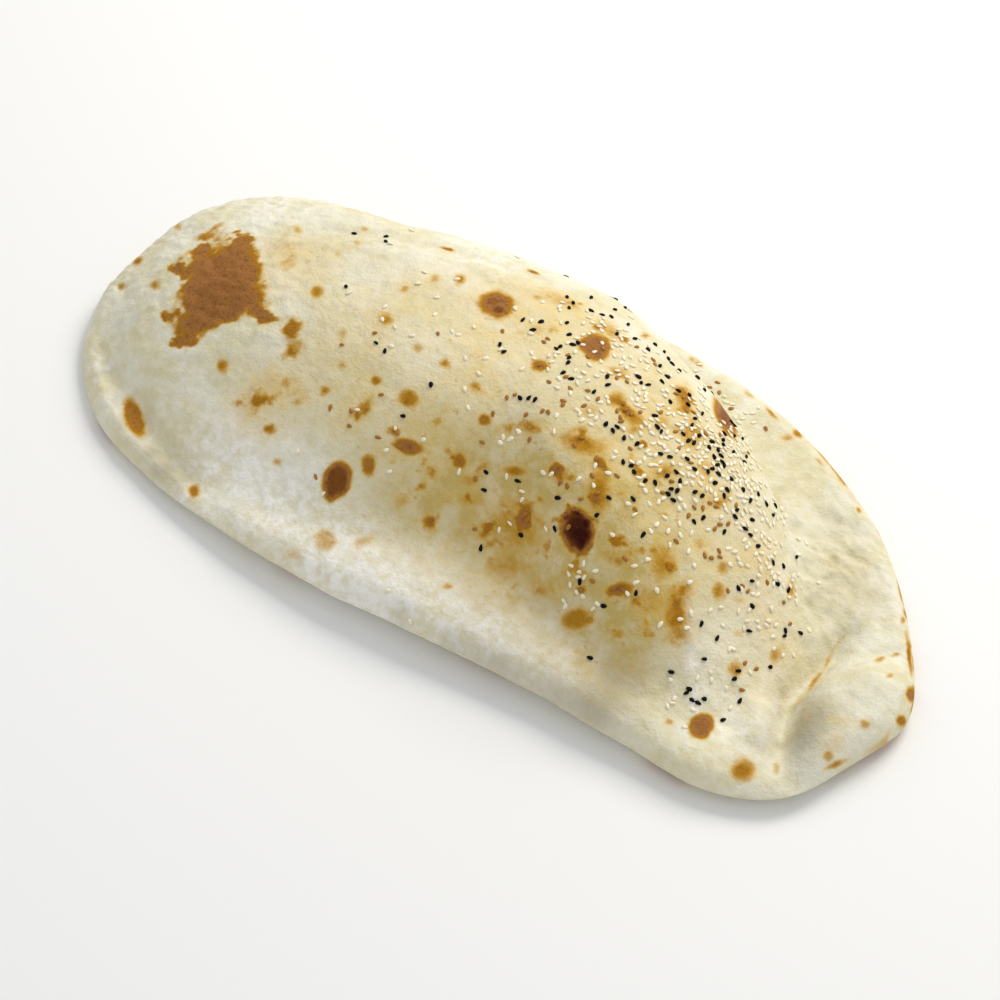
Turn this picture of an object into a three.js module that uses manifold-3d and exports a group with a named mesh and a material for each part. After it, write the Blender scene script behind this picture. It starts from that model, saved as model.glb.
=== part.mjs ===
// A balloon of lavash, puffed up in the oven and baked whole: one solid of bread with a thin rim all
// round, a long dome that bends from the left end to the near right corner, a rolled shelf along its
// near side, a small puffed lobe at the right, and the seeds that were sprinkled along its crest.
//
// Millimetres, +Z up. The origin is at the middle of the bread's box, on the surface that it rests on.
// +X runs along the bread to its flat right end, and -Y is the near side.

import * as THREE from 'three';
import { mergeVertices } from 'three/addons/utils/BufferGeometryUtils.js';
import Module from 'manifold-3d';

// ---------------------------------------------------------------- driving dimensions

// Every angle below is measured about this point, which lies under the middle of the dome.
const CENTRE = new THREE.Vector2(-2, 13.5);

// The bread's edge and rim at stations round it, counter-clockwise from its left end:
// angle in degrees, reach of the edge from the centre, flange between the edge and the foot of the
// dome, height of the edge, height of the rolled rim, and width over which the roll rises.
const STATIONS = [
  [-178, 219, 1, 7, 20, 15],
  [-170, 221, 2, 6.5, 18, 11],
  [-162, 215.5, 4, 5, 12, 9],
  [-150, 195, 11, 5, 13, 10],
  [-138, 168, 9, 6, 13, 11],
  [-122, 141, 6, 10, 17, 18],
  [-105, 126.5, 9, 12, 22.5, 23],
  [-88, 120.5, 17, 13.5, 25, 26],
  [-70, 125, 24, 13.5, 25, 29],
  [-52, 143.5, 25, 12, 23, 31],
  [-40, 175, 19, 10, 20, 32],
  [-33, 204, 25, 8, 16.5, 30],
  [-26, 222, 33, 8, 13, 24],
  [-17, 225, 44, 7, 10, 17],
  [-8, 225, 55, 6, 9, 12],
  [2, 202, 52, 5, 9, 9],
  [14, 176, 50, 5, 8, 8],
  [30, 145, 40, 5, 8, 8],
  [52, 115, 27, 5, 8, 8],
  [80, 97, 12, 5, 9, 8],
  [110, 99, 9, 5, 9, 8],
  [135, 122, 9, 5, 9, 9],
  [152, 154, 10, 5, 12, 11],
  [164, 193, 3, 7, 20, 15],
  [174, 214, 1, 7, 24, 16],
];
const [ANGLE, REACH, FLANGE, EDGE, ROLL, ROUND] = [0, 1, 2, 3, 4, 5];

// Height of the dome's crest along the bread: x, height.
const CREST = [[-217, 63], [-147, 62], [-77, 72], [-17, 75], [53, 78.5], [113, 78.5], [168, 61]];

// The dome falls as (1 - r^swell)^fall, where r goes from 0 at the centre to 1 at its foot. Its far side
// and its ends stand up steeply from the rim, and its near side slopes down softly into the shelf.
const STEEP_FALL = 0.5;
const SOFT_FALL = 1;
const SWELL = 2.3;
const LEFT_SWELL = 1.7;
const NEAR_SIDE = { from: 36.5, to: -68.5 };
const LEFT_END = { from: -57, to: -187 };
const RIGHT_END = { from: 3, to: 203 };

// How much of the near side's softness the two ends take back, and how the near side lessens the swell.
const SOFTNESS_LOST = { left: 0.55, right: 0.35 };
const SWELL_LOST = { near: 0.35, left: 0.6 };

// Width over which the dome's foot is blended into the roll, and how much of that the left end takes back.
const BLEND = { steep: 6, soft: 11, lost: 0.7 };

// The puffed lobe at the right end: an oval pillow on the flange, round at its near end and slack at
// its far end, where it runs out into the flange. The slackness grows over a share of the half length.
const LOBE = { x: 203, y: -30, halfWidth: 27, halfLength: 52, turn: -2, height: 22, square: 2.3 };
const LOBE_FALL = { near: 0.5, far: 1.8 };
const LOBE_SLACKENS = { from: -0.2, to: 0.9 };
const LOBE_BLEND = 3;

// Share of a fold's height that is left at its two ends.
const FOLD_END = 0.15;

// Folds where the skin gave way as it puffed: how far each stands above the skin or, where it is below
// zero, lies under it, its width, and the line that it follows.
const FOLDS = [
  { name: 'step behind the crest', rise: -1.5, width: 5,
    line: [[-147, 21.5], [-102, 41.5], [-57, 53.5], [-7, 59.5], [28, 57.5]] },
  { name: 'crease inside the lip at the left', rise: -4.5, width: 5,
    line: [[-198, -56], [-183, -60], [-165, -67], [-145, -78], [-115, -90], [-78, -101]] },
  { name: 'crease at the foot of the lobe', rise: -8.5, width: 5.5,
    line: [[184, 16], [180, 6], [177, -8], [175, -24], [174, -38], [179, -50], [187, -66], [190, -76]] },
  { name: 'fold in the flange', rise: -2, width: 6,
    line: [[123, 63.5], [138, 51.5], [145, 37.5]] },
  { name: 'valley before the near corner', rise: -2, width: 7,
    line: [[155, -50], [159, -62], [163, -74]] },
  { name: 'swelling beside the lobe', rise: 3, width: 7,
    line: [[166, -46], [171, -60], [176, -74]] },
];

// The edge is rounded over, and below it the bread turns in to its flat, baked underside.
const EDGE_ROUND = 10;
const TURN_UNDER = { perHeight: 1.6, least: 8 };

// Steps of the surface: columns round the bread, rings over the top and rings under the edge.
const COLUMNS = 100;
const TOP_RINGS = 24;
const UNDER_RINGS = 5;
const RING_CROWDING = 1.7;

// Seeds: length, width and thickness of each kind, how many there are, and how deep they sit.
const SESAME = { size: [3.3, 2.0, 1.0], count: 86 };
const NIGELLA = { size: [2.9, 1.6, 1.3], count: 48 };
const SEED_SIZE_SPREAD = 0.12;
const SEED_SUNK = 0.3;
const SEED_SIDES = 5;
const SEED_GAP = 3.6;
const SEED_DRAW = 20611;

// Seeds were sprinkled along the crest: x, y, spread and weight of each place they fell thickest.
const SPRINKLES = [
  { x: 3, y: 50, spread: 22, weight: 0.55 },
  { x: 48, y: 31, spread: 25, weight: 0.5 },
  { x: 93, y: -4, spread: 23, weight: 1 },
  { x: 133, y: -24, spread: 20, weight: 0.45 },
  { x: 146, y: -66, spread: 17, weight: 0.35 },
  { x: 58, y: -46, spread: 42, weight: 0.1 },
  { x: -27, y: 12, spread: 60, weight: 0.05 },
];

const CRUST = new THREE.MeshStandardMaterial({
  name: 'baked_crust',
  color: 0xe6ddc2,
  roughness: 0.85,
  metalness: 0,
});

// ---------------------------------------------------------------- curves

/** A smooth curve through stations: cubic pieces whose slope at a station joins its two neighbours. */
function curveThrough(xs, ys, at) {
  const last = xs.length - 1;
  const x = THREE.MathUtils.clamp(at, xs[0], xs[last]);
  let i = 0;
  while (i < last - 1 && x > xs[i + 1]) i += 1;
  const span = xs[i + 1] - xs[i];
  const t = (x - xs[i]) / span;
  const slope = (k) => (k === 0 || k === last ? 0 : (ys[k + 1] - ys[k - 1]) / (xs[k + 1] - xs[k - 1]));
  const rise = (3 - 2 * t) * t * t;
  const start = (1 - t) * (1 - t) * t;
  const end = (t - 1) * t * t;
  return ys[i] * (1 - rise) + ys[i + 1] * rise + span * (slope(i) * start + slope(i + 1) * end);
}

/** One column of the stations as a closed curve of the angle about the centre, in degrees. */
function closedCurve(column) {
  const turns = [-360, 0, 360];
  const xs = turns.flatMap((turn) => STATIONS.map((station) => station[ANGLE] + turn));
  const ys = turns.flatMap(() => STATIONS.map((station) => station[column]));
  return (degrees) => curveThrough(xs, ys, degrees);
}

const reachAt = closedCurve(REACH);
const flangeAt = closedCurve(FLANGE);
const edgeAt = closedCurve(EDGE);
const rollAt = closedCurve(ROLL);
const roundAt = closedCurve(ROUND);
const crestAt = (x) => curveThrough(CREST.map(([at]) => at), CREST.map(([, height]) => height), x);

/** 0 at one end of a stretch and 1 at the other, smooth at both. */
function easeAlong(stretch, value) {
  const t = THREE.MathUtils.clamp((value - stretch.from) / (stretch.to - stretch.from), 0, 1);
  return t * t * (3 - 2 * t);
}

/** The higher of two heights, with the corner between them filled over the given blend. */
function softMax(a, b, blend) {
  const t = THREE.MathUtils.clamp(0.5 + (0.5 * (a - b)) / blend, 0, 1);
  return b + (a - b) * t + blend * t * (1 - t);
}

/** A quarter circle: 0 at 0, level at 1 and beyond. */
function quarterRound(t) {
  const rest = 1 - THREE.MathUtils.clamp(t, 0, 1);
  return Math.sqrt(1 - rest * rest);
}

/** A power that keeps the sign of what it raises. */
const signedPower = (value, power) => Math.sign(value) * Math.abs(value) ** power;

// ---------------------------------------------------------------- the top of the bread

/** The dome: the crest's height times its fall from the centre out to the foot. */
function domeHeight(x, y, outward) {
  const near = easeAlong(NEAR_SIDE, y);
  const left = easeAlong(LEFT_END, x);
  const right = easeAlong(RIGHT_END, x);
  const softness = near * (1 - SOFTNESS_LOST.left * left) * (1 - SOFTNESS_LOST.right * right);
  const fall = STEEP_FALL + (SOFT_FALL - STEEP_FALL) * softness;
  const swell = SWELL + LEFT_SWELL * left * (1 - SWELL_LOST.left * near) - SWELL_LOST.near * near * (1 - right);
  return crestAt(x) * signedPower(1 - outward ** swell, fall);
}

/** The lobe: half an ellipsoid with a squarish plan, slack towards its far end and negative outside it. */
function lobeHeight(x, y) {
  const local = new THREE.Vector2(x - LOBE.x, y - LOBE.y);
  local.rotateAround(new THREE.Vector2(), -THREE.MathUtils.degToRad(LOBE.turn));
  const across = Math.abs(local.x / LOBE.halfWidth) ** LOBE.square;
  const along = Math.abs(local.y / LOBE.halfLength) ** LOBE.square;
  const slackness = easeAlong(LOBE_SLACKENS, local.y / LOBE.halfLength);
  const fall = THREE.MathUtils.lerp(LOBE_FALL.near, LOBE_FALL.far, slackness);
  return LOBE.height * signedPower(1 - (across + along) ** (2 / LOBE.square), fall);
}

/** A fold: a bell across a line of points, faint at its two ends. */
function foldHeight(x, y, fold) {
  const point = new THREE.Vector3(x, y, 0);
  const nearest = new THREE.Vector3();
  let distance = Infinity;
  let along = 0;
  let length = 0;
  for (let i = 1; i < fold.line.length; i += 1) {
    const stretch = new THREE.Line3(
      new THREE.Vector3(...fold.line[i - 1], 0),
      new THREE.Vector3(...fold.line[i], 0),
    );
    stretch.closestPointToPoint(point, true, nearest);
    if (nearest.distanceTo(point) < distance) {
      distance = nearest.distanceTo(point);
      along = length + nearest.distanceTo(stretch.start);
    }
    length += stretch.distance();
  }
  const begins = easeAlong({ from: 0, to: length / 4 }, along);
  const ends = easeAlong({ from: length, to: (length * 3) / 4 }, along);
  const share = THREE.MathUtils.lerp(FOLD_END, 1, begins * ends);
  return fold.rise * Math.exp(-((distance / fold.width) ** 2)) * share;
}

/** Height of the bread's upper skin over a point of its plan. */
function topHeight(x, y) {
  const offset = new THREE.Vector2(x, y).sub(CENTRE);
  const degrees = THREE.MathUtils.radToDeg(Math.atan2(offset.y, offset.x));
  const reach = reachAt(degrees);
  const inward = reach - offset.length();
  const edge = edgeAt(degrees);
  const roll = edge + (rollAt(degrees) - edge) * quarterRound(inward / roundAt(degrees));
  const dome = domeHeight(x, y, offset.length() / (reach - flangeAt(degrees)));
  const softness = easeAlong(NEAR_SIDE, y) * (1 - BLEND.lost * easeAlong(LEFT_END, x));
  const blend = BLEND.steep + (BLEND.soft - BLEND.steep) * softness;
  let height = softMax(softMax(roll, dome, blend), lobeHeight(x, y), LOBE_BLEND);
  for (const fold of FOLDS) height += foldHeight(x, y, fold);
  return edge + (height - edge) * quarterRound(inward / EDGE_ROUND);
}

// ---------------------------------------------------------------- the bread's skin

/** The closed skin: rings from the edge up to the crest, and from the edge down to the flat foot. */
function breadGeometry() {
  const points = [];
  const faces = [];
  const pushRing = (distanceAt, heightAt) => {
    const first = points.length / 3;
    for (let column = 0; column < COLUMNS; column += 1) {
      const degrees = (360 * column) / COLUMNS - 180;
      const turn = THREE.MathUtils.degToRad(degrees);
      const distance = distanceAt(degrees);
      const x = CENTRE.x + distance * Math.cos(turn);
      const y = CENTRE.y + distance * Math.sin(turn);
      points.push(x, y, heightAt(x, y, degrees));
    }
    return first;
  };
  const joinRings = (lower, upper) => {
    for (let column = 0; column < COLUMNS; column += 1) {
      const next = (column + 1) % COLUMNS;
      faces.push(lower + column, lower + next, upper + next);
      faces.push(lower + column, upper + next, upper + column);
    }
  };
  const closeRing = (ring, height, facesUp) => {
    const pole = points.length / 3;
    points.push(CENTRE.x, CENTRE.y, height);
    for (let column = 0; column < COLUMNS; column += 1) {
      const next = (column + 1) % COLUMNS;
      faces.push(ring + (facesUp ? column : next), ring + (facesUp ? next : column), pole);
    }
  };

  const edge = pushRing(reachAt, topHeight);
  let ring = edge;
  for (let step = 1; step < TOP_RINGS; step += 1) {
    const share = 1 - (step / TOP_RINGS) ** RING_CROWDING;
    const next = pushRing((degrees) => reachAt(degrees) * share, topHeight);
    joinRings(ring, next);
    ring = next;
  }
  closeRing(ring, topHeight(CENTRE.x, CENTRE.y), true);

  ring = edge;
  for (let step = 1; step <= UNDER_RINGS; step += 1) {
    const share = step / UNDER_RINGS;
    const turnUnder = (degrees) => TURN_UNDER.perHeight * edgeAt(degrees) + TURN_UNDER.least;
    const next = pushRing(
      (degrees) => reachAt(degrees) - turnUnder(degrees) * share,
      (x, y, degrees) => edgeAt(degrees) * (1 - quarterRound(share)),
    );
    joinRings(next, ring);
    ring = next;
  }
  closeRing(ring, 0, false);

  const geometry = new THREE.BufferGeometry();
  geometry.setAttribute('position', new THREE.Float32BufferAttribute(points, 3));
  geometry.setIndex(faces);
  return geometry;
}

// ---------------------------------------------------------------- seeds

/** A repeatable random draw between 0 and 1 (mulberry32). */
function seededDraw(seed) {
  let state = seed;
  return () => {
    state = (state + 0x6d2b79f5) | 0;
    let mixed = Math.imul(state ^ (state >>> 15), 1 | state);
    mixed = (mixed + Math.imul(mixed ^ (mixed >>> 7), 61 | mixed)) ^ mixed;
    return ((mixed ^ (mixed >>> 14)) >>> 0) / 4294967296;
  };
}

/** A seed along +X, flat in Z, with one blunt and one pointed end, of unit length, width and thickness. */
function seedGeometry() {
  const profile = [[0, -0.5], [0.48, -0.16], [0.36, 0.27], [0, 0.5]];
  const geometry = new THREE.LatheGeometry(profile.map(([r, y]) => new THREE.Vector2(r, y)), SEED_SIDES);
  geometry.rotateZ(-Math.PI / 2);
  return geometry;
}

/** How thickly the seeds lie at a point of the plan, from 0 to about 1. */
function sprinkleDensity(x, y) {
  return SPRINKLES.reduce((sum, place) => {
    const squares = (x - place.x) ** 2 + (y - place.y) ** 2;
    return sum + place.weight * Math.exp(-squares / (2 * place.spread ** 2));
  }, 0);
}

/** Places on the skin for the seeds, drawn thickest along the crest and kept apart from each other. */
function seedPlaces(bread, count, draw, taken) {
  const skin = new THREE.Mesh(bread, CRUST);
  const box = new THREE.Box3().setFromBufferAttribute(bread.attributes.position);
  const caster = new THREE.Raycaster();
  const down = new THREE.Vector3(0, 0, -1);
  const places = [];
  while (places.length < count) {
    const x = THREE.MathUtils.lerp(box.min.x, box.max.x, draw());
    const y = THREE.MathUtils.lerp(box.min.y, box.max.y, draw());
    if (draw() > sprinkleDensity(x, y)) continue;
    caster.set(new THREE.Vector3(x, y, box.max.z + 1), down);
    const [hit] = caster.intersectObject(skin);
    if (!hit || taken.some((place) => place.distanceTo(hit.point) < SEED_GAP)) continue;
    taken.push(hit.point);
    places.push({ point: hit.point, normal: hit.face.normal });
  }
  return places;
}

/** One seed, lying flat on the skin, turned at random and sunk a little into the crust. */
function placedSeed(kind, place, draw) {
  const scale = 1 + SEED_SIZE_SPREAD * (2 * draw() - 1);
  const [length, width, thickness] = kind.size.map((size) => size * scale);
  const heading = new THREE.Vector3(1, 0, 0).applyAxisAngle(new THREE.Vector3(0, 0, 1), 2 * Math.PI * draw());
  const across = new THREE.Vector3().crossVectors(place.normal, heading).normalize();
  const along = new THREE.Vector3().crossVectors(across, place.normal);
  const lift = thickness * (0.5 - SEED_SUNK);
  const matrix = new THREE.Matrix4().makeBasis(along, across, place.normal);
  matrix.scale(new THREE.Vector3(length, width, thickness));
  matrix.setPosition(place.point.clone().addScaledVector(place.normal, lift));
  return seedGeometry().applyMatrix4(matrix);
}

// ---------------------------------------------------------------- fusing

const wasm = await Module();
wasm.setup();

/** A closed geometry as a solid that can be joined to others. */
function solidOf(geometry) {
  const bare = geometry.clone();
  bare.deleteAttribute('normal');
  bare.deleteAttribute('uv');
  const merged = mergeVertices(bare, 1e-4);
  return new wasm.Manifold(new wasm.Mesh({
    numProp: 3,
    vertProperties: new Float32Array(merged.attributes.position.array),
    triVerts: new Uint32Array(merged.index.array),
  }));
}

/** A joined solid as a geometry again, without any loose scrap. */
function geometryOf(solid) {
  const pieces = solid.decompose();
  const whole = pieces.reduce((largest, piece) => (piece.volume() > largest.volume() ? piece : largest));
  const mesh = whole.getMesh();
  const geometry = new THREE.BufferGeometry();
  geometry.setAttribute('position', new THREE.Float32BufferAttribute(mesh.vertProperties, 3));
  geometry.setIndex(new THREE.Uint32BufferAttribute(mesh.triVerts, 1));
  geometry.computeVertexNormals();
  return geometry;
}

/** The bread with its seeds fused to the crust. */
function lavashGeometry() {
  const bread = breadGeometry();
  const draw = seededDraw(SEED_DRAW);
  const taken = [];
  let solid = solidOf(bread);
  for (const kind of [SESAME, NIGELLA]) {
    for (const place of seedPlaces(bread, kind.count, draw, taken)) {
      solid = solid.add(solidOf(placedSeed(kind, place, draw)));
    }
  }
  return geometryOf(solid);
}

const lavash = new THREE.Mesh(lavashGeometry(), CRUST);
lavash.name = 'lavash';

const part = new THREE.Group();
part.add(lavash);

export default part;
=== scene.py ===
"""Looks of a puffed lavash: its baked crust, the marks of the oven and the seeds on its crest.

The bread's form repeats the solid's own sizes, in millimetres, with the fine relief of the crust
added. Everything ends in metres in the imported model's frame.
"""
from __future__ import annotations

import logging
import math
from dataclasses import dataclass
from enum import Enum

import bpy
import mathutils
import numpy as np
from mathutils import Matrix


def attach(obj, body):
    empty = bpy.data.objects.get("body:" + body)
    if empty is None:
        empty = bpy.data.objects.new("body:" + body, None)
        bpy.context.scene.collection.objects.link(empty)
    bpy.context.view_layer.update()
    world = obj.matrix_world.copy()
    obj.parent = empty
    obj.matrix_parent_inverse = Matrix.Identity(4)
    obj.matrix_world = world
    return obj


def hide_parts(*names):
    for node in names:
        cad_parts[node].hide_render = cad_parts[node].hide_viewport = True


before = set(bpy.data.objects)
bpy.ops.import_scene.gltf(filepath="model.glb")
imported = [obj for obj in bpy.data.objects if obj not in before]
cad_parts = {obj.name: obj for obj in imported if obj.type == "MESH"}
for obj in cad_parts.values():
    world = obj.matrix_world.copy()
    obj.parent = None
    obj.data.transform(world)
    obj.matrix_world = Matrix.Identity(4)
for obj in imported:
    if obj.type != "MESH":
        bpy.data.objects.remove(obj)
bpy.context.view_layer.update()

LOG = logging.getLogger("lavash")
NODE = "lavash"
BODY = "root"
MM = 0.001


# ---------------------------------------------------------------- helpers


def to_linear(hex_colour: str) -> tuple[float, float, float, float]:
    """Turn an sRGB hex colour into linear RGBA.

    Args:
        hex_colour: six hex digits after a hash.

    Returns:
        Linear red, green, blue and an alpha of 1.
    """
    parts = [int(hex_colour[i:i + 2], 16) / 255 for i in (1, 3, 5)]
    linear = [c / 12.92 if c <= 0.04045 else ((c + 0.055) / 1.055) ** 2.4 for c in parts]
    return (linear[0], linear[1], linear[2], 1.0)


def add_node(tree: bpy.types.NodeTree, kind: str, inputs: dict | None = None, **settings) -> bpy.types.Node:
    """Add a shader node with its settings and links.

    Args:
        tree: the node tree to add to.
        kind: the node's type name, without its ShaderNode prefix.
        inputs: what each input takes, by name or number: an output socket, a node for its first
            output in use, or a plain value.
        settings: the node's attributes.

    Returns:
        The new node.
    """
    node = tree.nodes.new(f"ShaderNode{kind}")
    for name, value in settings.items():
        setattr(node, name, value)
    for name, value in (inputs or {}).items():
        if isinstance(value, bpy.types.Node):
            value = next(socket for socket in value.outputs if socket.enabled)
        if isinstance(value, bpy.types.NodeSocket):
            tree.links.new(value, node.inputs[name])
        else:
            node.inputs[name].default_value = value
    return node


def new_material(name: str, inputs: dict) -> bpy.types.Material:
    """Make a material on a Principled shader.

    Args:
        name: the material's name.
        inputs: plain values for the shader's inputs, by name.

    Returns:
        The new material.
    """
    material = bpy.data.materials.new(name)
    material.use_nodes = True
    for key, value in inputs.items():
        material.node_tree.nodes["Principled BSDF"].inputs[key].default_value = value
    return material


def ease(low: float, high: float, value: np.ndarray) -> np.ndarray:
    """Ease from 0 at low to 1 at high: t squared times (3 - 2 t), with t the clipped share of the way."""
    t = np.clip((value - low) / (high - low), 0, 1)
    return t * t * (3 - 2 * t)


def soft_max(a: np.ndarray, b: np.ndarray, blend: np.ndarray | float) -> np.ndarray:
    """The higher of two heights, with the corner between them filled by a parabola of the blend's width."""
    t = np.clip(0.5 + 0.5 * (a - b) / blend, 0, 1)
    return b + (a - b) * t + blend * t * (1 - t)


def quarter_round(t: np.ndarray) -> np.ndarray:
    """A quarter circle: the root of 1 - (1 - t) squared, level at 1 and beyond."""
    return np.sqrt(1 - (1 - np.clip(t, 0, 1)) ** 2)


def signed_power(value: np.ndarray, power: np.ndarray | float) -> np.ndarray:
    """A power that keeps the sign of what it raises."""
    return np.sign(value) * np.abs(value) ** power


def curve_through(xs: np.ndarray, ys: np.ndarray, at: np.ndarray) -> np.ndarray:
    """A smooth curve: cubic Hermite pieces whose slope at a station joins its two neighbours.

    Args:
        xs: the stations, rising.
        ys: the value at each station.
        at: where the curve is wanted.

    Returns:
        The curve's value at each place.
    """
    slopes = np.zeros_like(ys)
    slopes[1:-1] = (ys[2:] - ys[:-2]) / (xs[2:] - xs[:-2])
    x = np.clip(at, xs[0], xs[-1])
    i = np.clip(np.searchsorted(xs, x) - 1, 0, len(xs) - 2)
    span = xs[i + 1] - xs[i]
    t = (x - xs[i]) / span
    rise = (3 - 2 * t) * t * t
    bend = slopes[i] * (1 - t) ** 2 * t + slopes[i + 1] * (t - 1) * t * t
    return ys[i] * (1 - rise) + ys[i + 1] * rise + span * bend


def gradient_noise(points: np.ndarray, seed: int) -> np.ndarray:
    """Smooth random relief in space, about -1 to 1 with a wavelength of 1.

    Each corner of the unit lattice holds a random direction, and a point takes its eight corners'
    slopes, blended by the fifth-order ease of its place in the cell.

    Args:
        points: one row of three coordinates for each point.
        seed: which relief.

    Returns:
        The relief at each point.
    """
    draw = np.random.default_rng(seed)
    directions = draw.normal(size=(1024, 3))
    directions /= np.linalg.norm(directions, axis=1)[:, None]
    cell = np.floor(points).astype(np.int64)
    within = points - cell
    eased = within ** 3 * (within * (within * 6 - 15) + 10)
    total = np.zeros(points.shape[:-1])
    for corner in np.ndindex(2, 2, 2):
        key = (cell + corner) @ np.array([73856093, 19349663, 83492791])
        key = (key ^ (key >> 11)) * 2654435761
        slope = directions[(key >> 7) & 1023]
        weight = np.where(corner, eased, 1 - eased).prod(-1)
        total += weight * (slope * (within - np.array(corner))).sum(-1)
    return total * 1.7


def relief(points: np.ndarray, wavelength: float, seed: int, octaves: int = 1) -> np.ndarray:
    """Gradient noise at a wavelength in millimetres, each octave half as long and half as high.

    Args:
        points: one row of three coordinates for each point, in millimetres.
        wavelength: of the first octave.
        seed: which relief.
        octaves: how many there are.

    Returns:
        The relief at each point.
    """
    scales = [2.0 ** k for k in range(octaves)]
    return sum(gradient_noise(points * (s / wavelength), seed + i) / s for i, s in enumerate(scales))


@dataclass(frozen=True)
class Layer:
    """One layer of relief: its height and wavelength in millimetres, which relief it is and its octaves."""

    height: float
    wavelength: float
    seed: int
    octaves: int = 1

    def at(self, points: np.ndarray) -> np.ndarray:
        """The layer's height at each point."""
        return self.height * relief(points, self.wavelength, self.seed, self.octaves)


def new_piece(name: str, vertices: np.ndarray, faces: list[np.ndarray], material: bpy.types.Material,
              values: dict[str, np.ndarray] | None = None) -> bpy.types.Object:
    """Make a smooth mesh object at the origin from arrays in millimetres.

    Args:
        name: the piece's name.
        vertices: one row of three coordinates for each vertex.
        faces: arrays of vertex numbers, one row for each face.
        material: what the piece is made of.
        values: numbers for each vertex, by attribute name.

    Returns:
        The new object.
    """
    mesh = bpy.data.meshes.new(name)
    mesh.from_pydata((vertices * MM).tolist(), [], [row for rows in faces for row in rows.tolist()])
    mesh.polygons.foreach_set("use_smooth", np.ones(len(mesh.polygons), dtype=bool))
    for key, numbers in (values or {}).items():
        attribute = mesh.attributes.new(key, "FLOAT", "POINT")
        attribute.data.foreach_set("value", numbers.astype(np.float32))
    mesh.materials.append(material)
    mesh.update()
    piece = bpy.data.objects.new(name, mesh)
    bpy.context.scene.collection.objects.link(piece)
    return piece


# ---------------------------------------------------------------- the camera


@dataclass
class PhotoCamera:
    """A pinhole camera at the photograph's angle, in millimetres and pixels of a 1000-pixel square."""

    azimuth: float = 35.0
    elevation: float = 50.0
    distance: float = 1050.0
    target: tuple[float, float, float] = (21.0, -31.5, 25.0)
    mm_per_pixel: float = 0.44
    size: float = 1000.0
    sensor: float = 36.0
    clip_m: tuple[float, float] = (0.05, 20.0)

    def __post_init__(self) -> None:
        """Work out the camera's place and its three directions."""
        a, e = math.radians(self.azimuth), math.radians(self.elevation)
        self.back = np.array([math.sin(a) * math.cos(e), -math.cos(a) * math.cos(e), math.sin(e)])
        self.right = np.array([math.cos(a), math.sin(a), 0.0])
        self.up = np.cross(self.back, self.right)
        self.place = np.array(self.target) + self.back * self.distance
        self.focal = self.distance / self.mm_per_pixel

    def project(self, points: np.ndarray) -> np.ndarray:
        """Pixels of points: offsets to the right and down, over the depth, times the focal length.

        Args:
            points: one row of three for each, in millimetres.

        Returns:
            One row of two for each point.
        """
        offset = points - self.place
        depth = -offset @ self.back
        across = self.size / 2 + self.focal * (offset @ self.right) / depth
        down = self.size / 2 - self.focal * (offset @ self.up) / depth
        return np.stack([across, down], axis=1)

    def rays(self, pixels: np.ndarray) -> np.ndarray:
        """Directions from the camera through pixels.

        Args:
            pixels: one row of two for each.

        Returns:
            One unit row of three for each.
        """
        across = (pixels[:, 0:1] - self.size / 2) / self.focal
        up = (self.size / 2 - pixels[:, 1:2]) / self.focal
        ray = across * self.right + up * self.up - self.back
        return ray / np.linalg.norm(ray, axis=1)[:, None]

    def make(self) -> None:
        """Add the camera to the scene."""
        data = bpy.data.cameras.new("photo_camera")
        data.sensor_width = self.sensor
        data.lens = self.focal / self.size * self.sensor
        data.clip_start, data.clip_end = self.clip_m
        camera = bpy.data.objects.new("photo_camera", data)
        turn = np.stack([self.right, self.up, self.back], axis=1)
        camera.rotation_mode = "QUATERNION"
        camera.rotation_quaternion = mathutils.Matrix(turn.tolist()).to_quaternion()
        camera.location = (self.place * MM).tolist()
        bpy.context.scene.collection.objects.link(camera)
        bpy.context.scene.camera = camera


# ---------------------------------------------------------------- the bread's form


@dataclass(frozen=True)
class Groove:
    """A fold line in the skin: depth and width in millimetres, and the line that it follows."""

    depth: float
    width: float
    line: tuple[tuple[float, float], ...]

    def height(self, x: np.ndarray, y: np.ndarray) -> np.ndarray:
        """Minus the depth times a bell of the distance to the line, shallow at the line's two ends.

        Args:
            x: places along the bread, in millimetres.
            y: places across it, in millimetres.

        Returns:
            The fold's height at each place.
        """
        corners = np.array(self.line)
        lengths = np.hypot(*np.diff(corners, axis=0).T)
        nearest = np.full(x.shape, np.inf)
        along = np.zeros(x.shape)
        begun = 0.0
        for start, end, length in zip(corners[:-1], corners[1:], lengths):
            step = end - start
            t = np.clip(((x - start[0]) * step[0] + (y - start[1]) * step[1]) / length ** 2, 0, 1)
            distance = np.hypot(x - start[0] - t * step[0], y - start[1] - t * step[1])
            closer = distance < nearest
            nearest = np.where(closer, distance, nearest)
            along = np.where(closer, begun + t * length, along)
            begun += length
        ends = ease(0, begun / 4, along) * ease(begun, begun * 0.75, along)
        return -self.depth * np.exp(-(nearest / self.width) ** 2) * (0.15 + 0.85 * ends)


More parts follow.
